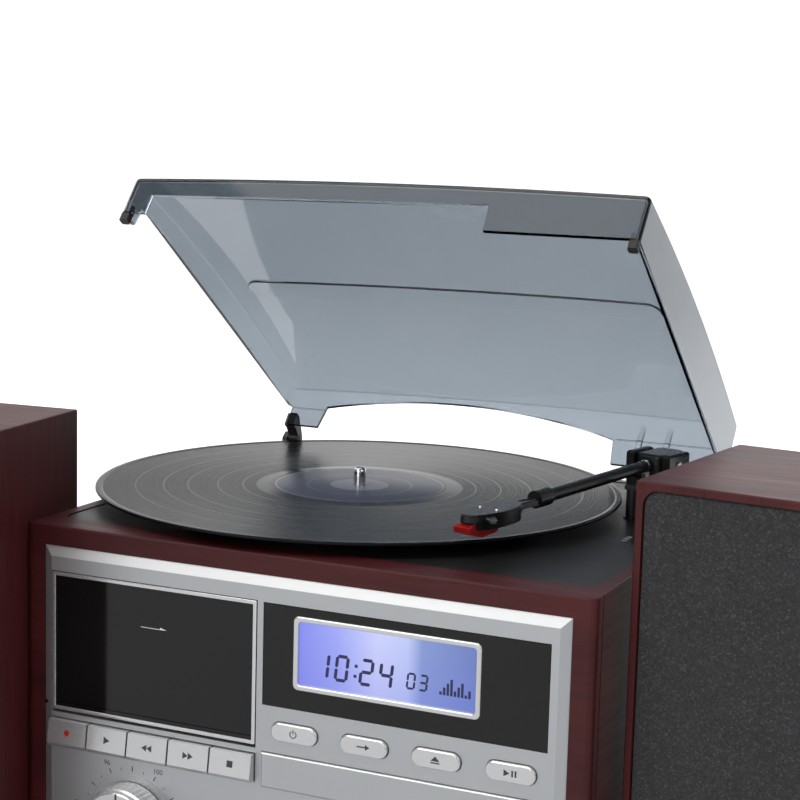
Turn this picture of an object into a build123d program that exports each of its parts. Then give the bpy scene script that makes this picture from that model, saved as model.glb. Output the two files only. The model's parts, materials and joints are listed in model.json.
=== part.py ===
from build123d import *
import os
from math import sin, cos, radians, sqrt, acos, degrees, pi

os.makedirs("parts", exist_ok=True)

# ---------------------------------------------------------------- driving dimensions (mm)
OX, OY = -9.025, 34.877         # cabinet centre, seen from the part's origin

W = 320.0                     # cabinet width
YF, YR = -144.0, 144.0        # front of the frame, back of the wrap
H = 205.0                     # top of the cabinet
FOOT = 8.0                    # foot height
WALL = 9.0                    # board thickness
FRAME_D = 10.0                # depth of the front frame
FRAME_W = 11.5                # width of its posts
FRAME_T = 10.5                # height of its rails

DECK_X = 152.0                # half width of the deck plate
DECK_F, DECK_R = -124.0, 137.0
DECK_Z = 204.6                # top face of the deck plate

SPX, SPY = -36.3, 7.5         # spindle
LP_R = 150.8                  # long-playing record
LP_TOP = 213.0
SPINDLE_R = 3.6
PLATTER_R = 100.0
RING_R = 62.0                 # belt ring under the platter
PULLEY_R = 5.0
PULLEY_D = 80.0               # spindle to pulley

PX, PY = 116.7, 86.7          # tonearm pivot
ARM_L = 185.0                 # pivot to stylus
UX, UY = -0.2334, -0.9724     # from the pivot towards the stylus
ARM_Z = 229.0                 # height of the arm's level pivot

HY, HZ = 125.5, 213.0         # dust cover hinge line
COVER_T = 2.5
OPEN = 38.0                   # the cover stands open at this angle

SPK_W, SPK_D, SPK_H = 145.0, 128.0, 258.0
TOE_L, TOE_R = 5.0, 7.3       # each loudspeaker turns in by this angle

BZ_F, BZ_B = -145.5, -142.5   # bezel plate, front and back


# ---------------------------------------------------------------- placing planes
def top(x, y, z):
    return Plane(origin=(x + OX, y + OY, z))


def front(x, y, z):
    return Plane(origin=(x + OX, y + OY, z), x_dir=(1, 0, 0), z_dir=(0, -1, 0))


def rear(x, y, z):
    return Plane(origin=(x + OX, y + OY, z), x_dir=(-1, 0, 0), z_dir=(0, 1, 0))


def side(x, y, z):
    return Plane(origin=(x + OX, y + OY, z), x_dir=(0, 1, 0), z_dir=(1, 0, 0))


def save(part, name):
    part.label = name
    export_step(part, "parts/" + name + ".step")


# ================================================================ cabinet
# veneered wrap: two sides, bottom and a top border with a rebate for the deck plate
D_IN = YR - (YF + FRAME_D)
with BuildPart() as case_wrap:
    with BuildSketch(front(0, YF + FRAME_D, (H + FOOT) / 2)):
        Rectangle(W, H - FOOT)
    extrude(amount=-D_IN)
    fillet(case_wrap.edges().filter_by(Axis.Y), 1.2)
    with BuildSketch(front(0, YF + FRAME_D, (H + FOOT) / 2)):
        Rectangle(W - 2 * WALL, H - FOOT - 2 * WALL)
    extrude(amount=-D_IN, mode=Mode.SUBTRACT)
    # opening under the deck
    with BuildSketch(top(0, (DECK_F + DECK_R) / 2, H - WALL - 1)):
        RectangleRounded(2 * DECK_X - 10, DECK_R - DECK_F - 10, 6)
    extrude(amount=WALL + 2, mode=Mode.SUBTRACT)
    # rebate
    with BuildSketch(top(0, (DECK_F + DECK_R) / 2, H - 3.5)):
        RectangleRounded(2 * DECK_X, DECK_R - DECK_F, 10)
    extrude(amount=5, mode=Mode.SUBTRACT)
    # cooling slots in the bottom
    with BuildSketch(top(60, 70, FOOT - 1)):
        with GridLocations(14, 0, 8, 1):
            SlotOverall(60, 5, rotation=90)
    extrude(amount=WALL + 2, mode=Mode.SUBTRACT)
    # pilot holes for the back panel's screws
    with BuildSketch(rear(0, YR, 106.5)):
        with GridLocations(311, 81.5, 2, 3):
            Circle(1.5)
        with GridLocations(0, 186, 1, 2):
            Circle(1.5)
    extrude(amount=-12, mode=Mode.SUBTRACT)
save(case_wrap.part, "case_wrap")

# cherry frame round the front
with BuildPart() as front_frame:
    with BuildSketch(front(0, YF, (H + FOOT) / 2)):
        Rectangle(W, H - FOOT)
        Rectangle(W - 2 * FRAME_W, H - FOOT - 2 * FRAME_T, mode=Mode.SUBTRACT)
    extrude(amount=-FRAME_D)
    outer_posts = front_frame.edges().filter_by(Axis.Z).group_by(Axis.Y)[0].sort_by(Axis.X)
    fillet([outer_posts[0], outer_posts[-1]], 4.0)
    rim = front_frame.edges().filter_by(Axis.X).group_by(Axis.Y)[0].sort_by(Axis.Z)
    fillet([rim[0], rim[-1]], 1.2)
with BuildPart(mode=Mode.PRIVATE) as seam:
    for sx in (-W / 2 + 0.3, W / 2 - 0.3):
        with BuildSketch(top(sx, YF + FRAME_D - 0.5, FOOT - 1)):
            Rectangle(0.6, 1.0)
        extrude(amount=H)
save(front_frame.part - seam.part, "front_frame")

# rubber feet
with BuildPart() as feet:
    with BuildSketch(top(0, 0, 0)):
        with GridLocations(270, 232, 2, 2):
            Circle(11)
    extrude(amount=FOOT)
    chamfer(feet.edges().group_by(Axis.Z)[0], 1.2)
save(feet.part, "feet")

# back panel, laid on the edges of the wrap
RP = YR
with BuildPart() as rear_panel:
    with BuildSketch(rear(0, RP, 106.5)):
        RectangleRounded(W - 3, H - FOOT - 3, 3)
        with Locations((-90, -60)):
            Rectangle(70, 24, mode=Mode.SUBTRACT)      # loudspeaker clips
        with Locations((0, -58)):
            Rectangle(58, 30, mode=Mode.SUBTRACT)      # phono sockets
        with Locations((112, -66)):
            Rectangle(24, 15, mode=Mode.SUBTRACT)      # mains inlet
        with Locations((0, 30)):
            with GridLocations(12, 0, 14, 1):
                SlotOverall(54, 4, rotation=90, mode=Mode.SUBTRACT)
        with GridLocations(311, 81.5, 2, 3):
            Circle(1.6, mode=Mode.SUBTRACT)
        with GridLocations(0, 186, 1, 2):
            Circle(1.6, mode=Mode.SUBTRACT)
    extrude(amount=2.5)
save(rear_panel.part, "rear_panel")

# pan-head screws of the back panel
with BuildPart() as case_screws:
    with BuildSketch(rear(0, RP + 2.5, 106.5)):
        with GridLocations(311, 81.5, 2, 3):
            Circle(3.1)
        with GridLocations(0, 186, 1, 2):
            Circle(3.1)
    extrude(amount=1.8)
    fillet(case_screws.edges().group_by(Axis.Y)[-1], 0.8)
    with BuildSketch(rear(0, RP + 4.4, 106.5)):
        with GridLocations(311, 81.5, 2, 3):
            Rectangle(3.4, 0.8)
            Rectangle(0.8, 3.4)
        with GridLocations(0, 186, 1, 2):
            Rectangle(3.4, 0.8)
            Rectangle(0.8, 3.4)
    extrude(amount=-1.1, mode=Mode.SUBTRACT)
    with BuildSketch(rear(0, RP + 2.5, 106.5)):
        with GridLocations(311, 81.5, 2, 3):
            Circle(1.5)
        with GridLocations(0, 186, 1, 2):
            Circle(1.5)
    extrude(amount=-11)
save(case_screws.part, "case_screws")

# ================================================================ front
BZ_W, BZ_H = W - 2 * FRAME_W - 0.6, H - FOOT - 2 * FRAME_T - 0.6
ZC = (H + FOOT) / 2
DOOR_L, DOOR_R, DOOR_T, DOOR_B = -142.7, -18.4, 181.3, 103.9
WIN_L, WIN_R, WIN_T, WIN_B = -15.0, 139.0, 180.9, 127.4
KEY_T, KEY_B = 101.3, 85.7
TRAY_T, TRAY_B = 103.0, 84.0
BTN_Z = 115.0
BTN_X = (4.0, 43.0, 82.0, 121.0)
KNOB_X, KNOB_Z = 92.0, 50.0

with BuildPart() as front_bezel:
    with BuildSketch(front(0, BZ_B, ZC)):
        Rectangle(BZ_W, BZ_H)
    extrude(amount=0.8)
    # bevelled border, wide and shallow
    with BuildSketch(front(0, BZ_B - 0.8, ZC)):
        Rectangle(BZ_W, BZ_H)
    with BuildSketch(front(0, BZ_F, ZC)):
        Rectangle(BZ_W - 10.4, BZ_H - 10.4)
    loft()
    # door lugs, display ledge and stiffening rim behind the plate
    with BuildSketch(front(0, BZ_B, 0)):
        with Locations((DOOR_L - 2.6, 110), (DOOR_R + 1.6, 110)):
            Rectangle(3.2, 12)
        with Locations((0, 20.6), (0, BZ_H + 16.6)):
            Rectangle(BZ_W, 3)
    extrude(amount=-4.5)
    # openings
    with BuildSketch(front(0, BZ_F - 1, 0)):
        with Locations(((DOOR_L + DOOR_R) / 2, (DOOR_T + DOOR_B) / 2)):
            Rectangle(DOOR_R - DOOR_L, DOOR_T - DOOR_B)
        with Locations(((WIN_L + WIN_R) / 2, (WIN_T + WIN_B) / 2)):
            Rectangle(WIN_R - WIN_L, WIN_T - WIN_B)
        with Locations(((DOOR_L + DOOR_R) / 2, (KEY_T + KEY_B) / 2)):
            Rectangle(DOOR_R - DOOR_L, KEY_T - KEY_B)
        with Locations(((WIN_L + WIN_R) / 2, (TRAY_T + TRAY_B) / 2)):
            Rectangle(WIN_R - WIN_L, TRAY_T - TRAY_B)
        with Locations(*[(bx, BTN_Z) for bx in BTN_X]):
            RectangleRounded(26.8, 10.4, 5.1)
        with Locations((-KNOB_X, KNOB_Z), (KNOB_X, KNOB_Z)):
            Circle(4.0)
        with Locations((0, 34)):
            Circle(4.2)
    extrude(amount=-12, mode=Mode.SUBTRACT)
    # hinge bores of the cassette door
    with BuildSketch(side(DOOR_L - 6, -143.0, 108.0)):
        Circle(1.25)
    extrude(amount=DOOR_R - DOOR_L + 12, mode=Mode.SUBTRACT)
    # shallow scale rings round the knobs
    with BuildSketch(front(0, BZ_F, 0)):
        with Locations((-KNOB_X, KNOB_Z), (KNOB_X, KNOB_Z)):
            Circle(27.5)
            Circle(26.7, mode=Mode.SUBTRACT)
    extrude(amount=-0.4, mode=Mode.SUBTRACT)
save(front_bezel.part, "front_bezel")

# black gloss panel round the display
LCD_L, LCD_R, LCD_T, LCD_B = 2.4, 104.0, 176.2, 138.0
with BuildPart() as display_window:
    with BuildSketch(front(0, BZ_B, 0)):
        with Locations(((WIN_L + WIN_R) / 2, (WIN_T + WIN_B) / 2)):
            Rectangle(WIN_R - WIN_L - 0.3, WIN_T - WIN_B - 0.3)
        with Locations(((LCD_L + LCD_R) / 2, (LCD_T + LCD_B) / 2)):
            RectangleRounded(LCD_R - LCD_L, LCD_T - LCD_B, 3, mode=Mode.SUBTRACT)
    extrude(amount=2.9)
    chamfer(display_window.faces().sort_by(Axis.Y)[0].outer_wire().edges(), 0.3)
save(display_window.part, "display_window")

with BuildPart() as lcd_frame:
    with BuildSketch(front(0, BZ_B, 0)):
        with Locations(((LCD_L + LCD_R) / 2, (LCD_T + LCD_B) / 2)):
            RectangleRounded(LCD_R - LCD_L, LCD_T - LCD_B, 3)
            RectangleRounded(LCD_R - LCD_L - 5.6, LCD_T - LCD_B - 5.6, 1.6, mode=Mode.SUBTRACT)
    extrude(amount=3.9)
    fillet(lcd_frame.faces().sort_by(Axis.Y)[0].edges(), 0.8)
save(lcd_frame.part, "lcd_frame")

with BuildPart() as lcd_module:
    with BuildSketch(front(0, -138.5, 0)):
        with Locations(((LCD_L + LCD_R) / 2, (LCD_T + LCD_B) / 2)):
            Rectangle(LCD_R - LCD_L - 2, LCD_T - LCD_B - 2)
    extrude(amount=4)
    with BuildSketch(front(0, -142.5, 0)):
        with Locations(((LCD_L + LCD_R) / 2, (LCD_T + LCD_B) / 2)):
            RectangleRounded(LCD_R - LCD_L - 5.6, LCD_T - LCD_B - 5.6, 1.6)
    extrude(amount=2.2)
save(lcd_module.part, "lcd_module")

# boards behind the front, with the headphone socket and the two rotary controls
HPX, HPZ = 0.0, 34.0
with BuildPart() as control_board:
    with BuildSketch(front(0, -134, 0)):
        with Locations((62, 143.5)):
            Rectangle(152, 74)
    extrude(amount=1.6)
    with BuildSketch(front(0, -134, 0)):
        with Locations((0, 49)):
            Rectangle(284, 54)
    extrude(amount=1.6)
    # rotary controls
    with BuildSketch(front(0, -135.6, 0)):
        with Locations((-KNOB_X, KNOB_Z), (KNOB_X, KNOB_Z)):
            Rectangle(14, 14)
    extrude(amount=5)
    with BuildSketch(front(0, -140.6, 0)):
        with Locations((-KNOB_X, KNOB_Z), (KNOB_X, KNOB_Z)):
            Circle(3.5)
    extrude(amount=1.2)
    with BuildSketch(front(0, -142.5, 0)):
        with Locations((-KNOB_X, KNOB_Z), (KNOB_X, KNOB_Z)):
            Circle(2.6)
    extrude(amount=-9, mode=Mode.SUBTRACT)
    # switches behind the buttons
    with BuildSketch(front(0, -135.6, 0)):
        with Locations(*[(bx, BTN_Z) for bx in BTN_X]):
            Rectangle(6, 6)
    extrude(amount=1.8)
    # headphone socket
    with BuildSketch(front(HPX, -135.6, HPZ)):
        Rectangle(9, 9)
    extrude(amount=6.9)
    with BuildSketch(front(HPX, -142.5, HPZ)):
        Circle(4.1)
    extrude(amount=3.6)
    with BuildSketch(front(HPX, -146.1, HPZ)):
        Circle(1.8)
    extrude(amount=-10, mode=Mode.SUBTRACT)
save(control_board.part, "control_board")

# cassette door: gloss black panel with a raised rim, on two short pins
with BuildPart() as cassette_door:
    with BuildSketch(front(0, -141.8, 0)):
        with Locations(((DOOR_L + DOOR_R) / 2, (181.0 + 105.5) / 2)):
            Rectangle(DOOR_R - DOOR_L - 0.8, 181.0 - 105.5)
    extrude(amount=3.8)
    low = cassette_door.edges().filter_by(Axis.X).group_by(Axis.Z)[0].sort_by(Axis.Y)[0]
    fillet(low, 2.2)
    with BuildSketch(front(0, -145.6, 0)):
        with Locations(((DOOR_L + DOOR_R) / 2, (181.0 + 107.7) / 2)):
            Rectangle(DOOR_R - DOOR_L - 4.8, 181.0 - 107.7 - 4.0)
    extrude(amount=-0.5, mode=Mode.SUBTRACT)
    # window recess on the inside
    with BuildSketch(front(0, -141.8, 0)):
        with Locations(((DOOR_L + DOOR_R) / 2, 146)):
            RectangleRounded(92, 44, 4)
    extrude(amount=1.2, mode=Mode.SUBTRACT)
    with BuildSketch(side(DOOR_L - 2.4, -143.0, 108.0)):
        Circle(1.2)
    extrude(amount=6)
    with BuildSketch(side(DOOR_R + 2.4, -143.0, 108.0)):
        Circle(1.2)
    extrude(amount=-6)
save(cassette_door.part, "cassette_door")

# carrier that holds the cassette against the door
CX = (DOOR_L + DOOR_R) / 2
with BuildPart() as cassette_carrier:
    with BuildSketch(front(0, -141.8, 0)):
        with Locations((CX, 145)):
            Rectangle(108, 66)
        with Locations((CX, 147)):
            Rectangle(102, 66, mode=Mode.SUBTRACT)
    extrude(amount=-15)
    with BuildSketch(front(0, -128.6, 0)):
        with Locations((CX - 48, 145), (CX + 48, 145)):
            Rectangle(12, 66)
    extrude(amount=-1.8)
save(cassette_carrier.part, "cassette_carrier")

# five keys under the door
KEY_N = ("key_record", "key_play", "key_rewind", "key_forward", "key_stop")
KEY_PITCH = (DOOR_R - DOOR_L) / 5
for i, name in enumerate(KEY_N):
    kx = DOOR_L + KEY_PITCH * (i + 0.5)
    with BuildPart() as key:
        with BuildSketch(side(kx - KEY_PITCH / 2 + 0.5, 0, 0)):
            with BuildLine():
                Polyline((-134, 86.3), (-149.4, 86.3), (-151.0, 88.4), (-149.2, 100.7), (-134, 100.7), close=True)
            make_face()
        extrude(amount=KEY_PITCH - 1.0)
        fillet(key.edges().filter_by(Axis.X).group_by(Axis.Y)[0], 0.8)
        # stem to the mechanism
        with BuildSketch(front(kx, -134, 93.5)):
            Rectangle(8, 5)
        extrude(amount=-7)
    save(key.part, name)

# round-ended push buttons
BTN_N = ("power_button", "source_button", "open_button", "play_button")
for bx, name in zip(BTN_X, BTN_N):
    with BuildPart() as button:
        with BuildSketch(front(bx, -141.6, BTN_Z)):
            RectangleRounded(26.0, 9.6, 4.7)
        extrude(amount=5.9)
        fillet(button.faces().sort_by(Axis.Y)[0].edges(), 0.9)
        with BuildSketch(front(bx, -141.6, BTN_Z)):
            RectangleRounded(28.6, 12.2, 6)
        extrude(amount=-1.0)
        with BuildSketch(front(bx, -140.6, BTN_Z)):
            Circle(1.6)
        extrude(amount=-1.1)
    save(button.part, name)

# rotary knobs with a fluted skirt
for kx, name in ((KNOB_X, "volume_knob"), (-KNOB_X, "tuning_knob")):
    with BuildPart() as knob:
        with BuildSketch(front(kx, -146.1, KNOB_Z)):
            Circle(23)
            with PolarLocations(23.35, 48):
                Circle(0.8, mode=Mode.SUBTRACT)
        extrude(amount=12)
        with BuildSketch(front(kx, -158.1, KNOB_Z)):
            Circle(21.6)
        extrude(amount=3.4)
        fillet(knob.faces().sort_by(Axis.Y)[0].edges(), 2.0)
        with BuildSketch(front(kx, -161.6, KNOB_Z)):
            Circle(16.5)
        extrude(amount=-0.7, mode=Mode.SUBTRACT)
        with BuildSketch(front(kx, -162, KNOB_Z)):
            with Locations((0, 18.6)):
                Circle(1.3)
        extrude(amount=-1.6, mode=Mode.SUBTRACT)
        # hollow back and shaft
        with BuildSketch(front(kx, -146.0, KNOB_Z)):
            Circle(19.5)
            Circle(6, mode=Mode.SUBTRACT)
        extrude(amount=9, mode=Mode.SUBTRACT)
        with BuildSketch(front(kx, -146.1, KNOB_Z)):
            Circle(2.55)
        extrude(amount=-11)
    save(knob.part, name)

# ================================================================ compact disc drive
TRX = (WIN_L + WIN_R) / 2
with BuildPart() as disc_tray:
    with BuildSketch(front(TRX, -142.9, (TRAY_T + TRAY_B) / 2)):
        Rectangle(WIN_R - WIN_L - 0.8, TRAY_T - TRAY_B - 0.8)
    extrude(amount=4.0)
    fillet(disc_tray.faces().sort_by(Axis.Y)[0].edges(), 0.9)
    with BuildSketch(top(TRX, -142.9 + 72.5, 86.5)):
        Rectangle(132, 145)
    extrude(amount=6)
    with BuildSketch(top(TRX, -142.9 + 66, 90)):
        Circle(60.8)
    extrude(amount=4, mode=Mode.SUBTRACT)
    with BuildSketch(top(TRX, -142.9 + 66, 88.6)):
        Circle(41)
    extrude(amount=2, mode=Mode.SUBTRACT)
    with BuildSketch(top(TRX, -142.9 + 66, 86)):
        Circle(17)
        with Locations((0, 40)):
            Rectangle(30, 80)
    extrude(amount=4, mode=Mode.SUBTRACT)
save(disc_tray.part, "disc_tray")

with BuildPart() as disc_mechanism:
    with BuildSketch(top(TRX, -55, 79)):
        Rectangle(146, 138)
    extrude(amount=2.5)
    with BuildSketch(top(TRX, -55, 81.5)):
        with Locations((-70.5, 0), (70.5, 0)):
            Rectangle(4, 138)
    extrude(amount=16.5)
    with BuildSketch(top(TRX, -4, 95.5)):
        Rectangle(137, 30)
    extrude(amount=2.5)
    # disc motor hub and the lens sled
    with BuildSketch(top(TRX, -142.9 + 66, 81.5)):
        Circle(13)
    extrude(amount=3.5)
    with BuildSketch(top(TRX, -142.9 + 66 + 34, 81.5)):
        Rectangle(22, 16)
    extrude(amount=3)
    with BuildSketch(top(TRX, -142.9 + 66 + 34, 84.5)):
        Circle(3)
    extrude(amount=0.8)
    # posts down to the bottom board
    with BuildSketch(top(TRX, -55, FOOT + WALL)):
        with GridLocations(130, 104, 2, 2):
            Circle(4)
    extrude(amount=79 - FOOT - WALL)
save(disc_mechanism.part, "disc_mechanism")

# ================================================================ cassette mechanism
HUB_Z, HUB_DX = 146.0, 21.25
with BuildPart() as tape_mechanism:
    with BuildSketch(front(CX, -123, 146)):
        Rectangle(118, 74)
        with Locations((-HUB_DX, HUB_Z - 146), (HUB_DX, HUB_Z - 146)):
            Circle(2.05, mode=Mode.SUBTRACT)
    extrude(amount=-2)
    # hub bearings
    with BuildSketch(front(CX, -121, HUB_Z)):
        with Locations((-HUB_DX, 0), (HUB_DX, 0)):
            Circle(5)
            Circle(2.05, mode=Mode.SUBTRACT)
    extrude(amount=-9)
    # head block, capstan and pinch roller below the hubs
    with BuildSketch(front(CX, -123, 119)):
        Rectangle(20, 9)
    extrude(amount=4)
    with BuildSketch(front(CX, -123, 121)):
        with Locations((25, 0)):
            Circle(1.2)
    extrude(amount=6)
    with BuildSketch(front(CX, -123, 119.8)):
        with Locations((36, 0)):
            Circle(5.0)
    extrude(amount=3)
    # motor and flywheel behind
    with BuildSketch(front(CX, -121, 128)):
        with Locations((32, 0)):
            Circle(17)
    extrude(amount=-7)
    with BuildSketch(front(CX, -121, 162)):
        with Locations((42, 0)):
            Circle(13)
    extrude(amount=-22)
    # bracket to the bottom board
    with BuildSketch(front(CX, -121, 0)):
        with Locations((-48, 64), (48, 64)):
            Rectangle(10, 94)
    extrude(amount=-2)
save(tape_mechanism.part, "tape_mechanism")

for dx, name in ((-HUB_DX, "supply_hub"), (HUB_DX, "take_up_hub")):
    with BuildPart() as hub:
        with BuildSketch(front(CX + dx, -123.3, HUB_Z)):
            Circle(4.6)
            with PolarLocations(4.6, 3):
                Rectangle(2.4, 1.6)
        extrude(amount=6)
        fillet(hub.faces().sort_by(Axis.Y)[0].edges(), 0.4)
        with BuildSketch(front(CX + dx, -123.3, HUB_Z)):
            Circle(2.0)
        extrude(amount=-13)
    save(hub.part, name)

# ================================================================ boards, supply and sockets
with BuildPart() as main_board:
    with BuildSketch(top(-10, 64, 30)):
        Rectangle(150, 120)
    extrude(amount=1.6)
    with BuildSketch(top(-10, 64, FOOT + WALL)):
        with GridLocations(140, 110, 2, 2):
            Circle(3.5)
    extrude(amount=30 - FOOT - WALL)
    with BuildSketch(top(-10, 64, 31.6)):
        with Locations((-50, -30), (-30, -34), (-52, -8)):
            Circle(7)
    extrude(amount=20)
    with BuildSketch(top(-10, 64, 31.6)):
        with Locations((10, 10), (34, -20)):
            Rectangle(18, 18)
    extrude(amount=3)
    # finned heat sink
    with BuildSketch(top(-10, 64, 31.6)):
        with Locations((-10, 45)):
            Rectangle(86, 4)
        with Locations((-10, 38)):
            with GridLocations(9, 0, 9, 1):
                Rectangle(2, 12)
    extrude(amount=40)
save(main_board.part, "main_board")

with BuildPart() as mains_transformer:
    with BuildSketch(top(-118, 20, FOOT + WALL)):
        Rectangle(50, 44)
    extrude(amount=42)
    chamfer(mains_transformer.edges().filter_by(Axis.Z), 3)
    with BuildSketch(top(-118, 20, FOOT + WALL + 8)):
        RectangleRounded(34, 62, 6)
    extrude(amount=26)
save(mains_transformer.part, "mains_transformer")

# figure-eight inlet
MX, MZ = -112.0, 40.5
with BuildPart() as mains_inlet:
    with BuildSketch(rear(MX, RP - 18, MZ)):
        Rectangle(23.6, 14.6)
    extrude(amount=20.5)
    with BuildSketch(rear(MX, RP + 2.5, MZ)):
        RectangleRounded(32, 18, 3)
    extrude(amount=2)
    with BuildSketch(rear(MX, RP + 4.5, MZ)):
        with Locations((-3.6, 0), (3.6, 0)):
            Circle(4.6)
        Rectangle(7.2, 8.4)
    extrude(amount=-15, mode=Mode.SUBTRACT)
    with BuildSketch(rear(MX, RP - 11, MZ)):
        with Locations((-4.3, 0), (4.3, 0)):
            Circle(1.2)
    extrude(amount=12)
save(mains_inlet.part, "mains_inlet")

# phono sockets: two in, two out
SZ = 48.5
with BuildPart() as rear_sockets:
    with BuildSketch(rear(0, RP - 3, SZ)):
        Rectangle(57.4, 29.4)
    extrude(amount=5.5)
    with BuildSketch(rear(0, RP + 2.5, SZ)):
        with GridLocations(28, 14, 2, 2):
            Circle(4.15)
    extrude(amount=8)
    with BuildSketch(rear(0, RP + 10.5, SZ)):
        with GridLocations(28, 14, 2, 2):
            Circle(1.7)
    extrude(amount=-11, mode=Mode.SUBTRACT)
save(rear_sockets.part, "rear_sockets")

# spring clips for the loudspeaker leads
LX, LZ = 90.0, 46.5
with BuildPart() as speaker_clips:
    with BuildSketch(rear(LX, RP - 12, LZ)):
        Rectangle(69.2, 23.2)
    extrude(amount=14.5)
    with BuildSketch(rear(LX, RP + 2.5, LZ)):
        RectangleRounded(76, 29, 3)
    extrude(amount=2)
    with BuildSketch(rear(LX, RP + 4.5, LZ)):
        with Locations((0, 6)):
            with GridLocations(15, 0, 4, 1):
                Rectangle(9, 8)
    extrude(amount=4.5)
    clip_tips = speaker_clips.faces().sort_by(Axis.Y)[-4:]
    fillet(clip_tips.edges().filter_by(Axis.X), 1.0)
    with BuildSketch(rear(LX, RP + 4.5, LZ)):
        with Locations((0, -6)):
            with GridLocations(15, 0, 4, 1):
                Circle(2.3)
    extrude(amount=-10, mode=Mode.SUBTRACT)
save(speaker_clips.part, "speaker_clips")

# ================================================================ record deck
PUX, PUY = SPX - PULLEY_D * cos(radians(45)), SPY + PULLEY_D * sin(radians(45))
CLX, CLY = 137.0, 44.0         # cue lever
SWX, SWY = 140.0, -12.0        # speed switch
with BuildPart() as deck_plate:
    with BuildSketch(top(0, (DECK_F + DECK_R) / 2, H - 3.5)):
        RectangleRounded(2 * DECK_X - 0.5, DECK_R - DECK_F - 0.5, 9.8)
    extrude(amount=DECK_Z - (H - 3.5))
    # platter well
    with BuildSketch(top(SPX, SPY, 192.5)):
        Circle(PLATTER_R + 5.5)
    extrude(amount=H - 3.5 - 192.5)
    with BuildSketch(top(SPX, SPY, 195)):
        Circle(PLATTER_R + 3)
    extrude(amount=12, mode=Mode.SUBTRACT)
    fillet(deck_plate.faces().sort_by(Axis.Z)[-1].inner_wires()[0].edges(), 1.2)
    fillet(deck_plate.faces().sort_by(Axis.Z)[-1].outer_wire().edges(), 0.8)
    # spindle boss
    with BuildSketch(top(SPX, SPY, 195)):
        Circle(9)
    extrude(amount=3.5)
    with BuildSketch(top(SPX, SPY, 190)):
        Circle(SPINDLE_R)
    extrude(amount=12, mode=Mode.SUBTRACT)
    # pulley hole
    with BuildSketch(top(PUX, PUY, 190)):
        Circle(8)
    extrude(amount=8, mode=Mode.SUBTRACT)
    # tonearm collar hole
    with BuildSketch(top(PX, PY, 198)):
        Circle(10)
    extrude(amount=10, mode=Mode.SUBTRACT)
    # ears of the cue lever
    with BuildSketch(side(CLX - 7.5, 0, 0)):
        with BuildLine():
            Polyline((CLY - 5, DECK_Z), (CLY - 4, 211), (CLY, 213.5), (CLY + 4, 211), (CLY + 5, DECK_Z), close=True)
        make_face()
        with Locations((CLY, 209.8)):
            Circle(1.55, mode=Mode.SUBTRACT)
    extrude(amount=2.5)
    with BuildSketch(side(CLX + 5, 0, 0)):
        with BuildLine():
            Polyline((CLY - 5, DECK_Z), (CLY - 4, 211), (CLY, 213.5), (CLY + 4, 211), (CLY + 5, DECK_Z), close=True)
        make_face()
        with Locations((CLY, 209.8)):
            Circle(1.55, mode=Mode.SUBTRACT)
    extrude(amount=2.5)
    # slot of the speed switch
    with BuildSketch(top(SWX, SWY, 198)):
        SlotOverall(18.6, 4.4, rotation=90)
    extrude(amount=10, mode=Mode.SUBTRACT)
    # pad under the arm rest
    with BuildSketch(top(117.1, 41.7, DECK_Z)):
        Circle(5)
    extrude(amount=0.6)
save(deck_plate.part, "deck_plate")

with BuildPart() as spindle:
    with BuildSketch(top(SPX, SPY, 190.5)):
        Circle(8)
    extrude(amount=2)
    with BuildSketch(top(SPX, SPY, 192.5)):
        Circle(SPINDLE_R)
    extrude(amount=LP_TOP + 10.8 - 192.5)
    fillet(spindle.edges().group_by(Axis.Z)[-1], 2.6)
    # turned groove just below the record's top
    with BuildSketch(top(SPX, SPY, LP_TOP - 0.7)):
        Circle(SPINDLE_R + 1)
        Circle(SPINDLE_R - 0.8, mode=Mode.SUBTRACT)
    extrude(amount=0.9, mode=Mode.SUBTRACT)
save(spindle.part, "spindle")

with BuildPart() as turntable_motor:
    with BuildSketch(top(PUX, PUY, 168)):
        Circle(16)
    extrude(amount=22)
    fillet(turntable_motor.edges().group_by(Axis.Z)[0], 2)
    with BuildSketch(top(PUX, PUY, 190)):
        SlotOverall(48, 20)
        Circle(16)
    extrude(amount=2.5)
    with BuildSketch(top(PUX, PUY, 192.5)):
        Circle(7)
    extrude(amount=-3, mode=Mode.SUBTRACT)
    with BuildSketch(top(PUX, PUY, 190)):
        Circle(1.05)
    extrude(amount=-16, mode=Mode.SUBTRACT)
save(turntable_motor.part, "turntable_motor")

with BuildPart() as motor_pulley:
    with BuildSketch(top(PUX, PUY, 199.6)):
        Circle(PULLEY_R + 0.8)
    extrude(amount=0.8)
    with BuildSketch(top(PUX, PUY, 200.4)):
        Circle(PULLEY_R)
    extrude(amount=4.6)
    with BuildSketch(top(PUX, PUY, 205)):
        Circle(PULLEY_R + 0.8)
    extrude(amount=0.8)
    with BuildSketch(top(PUX, PUY, 199.6)):
        Circle(1.0)
    extrude(amount=-24)
save(motor_pulley.part, "motor_pulley")


# belt: two arcs joined by their outer tangents
def belt_outline(grow):
    r1, r2 = RING_R + grow, PULLEY_R + grow
    a = acos((r1 - r2) / PULLEY_D)
    c1, s1 = cos(a), sin(a)
    Line((r1 * c1, r1 * s1), (PULLEY_D + r2 * c1, r2 * s1))
    ThreePointArc((PULLEY_D + r2 * c1, r2 * s1), (PULLEY_D + r2, 0), (PULLEY_D + r2 * c1, -r2 * s1))
    Line((PULLEY_D + r2 * c1, -r2 * s1), (r1 * c1, -r1 * s1))
    ThreePointArc((r1 * c1, -r1 * s1), (-r1, 0), (r1 * c1, r1 * s1))


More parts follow.
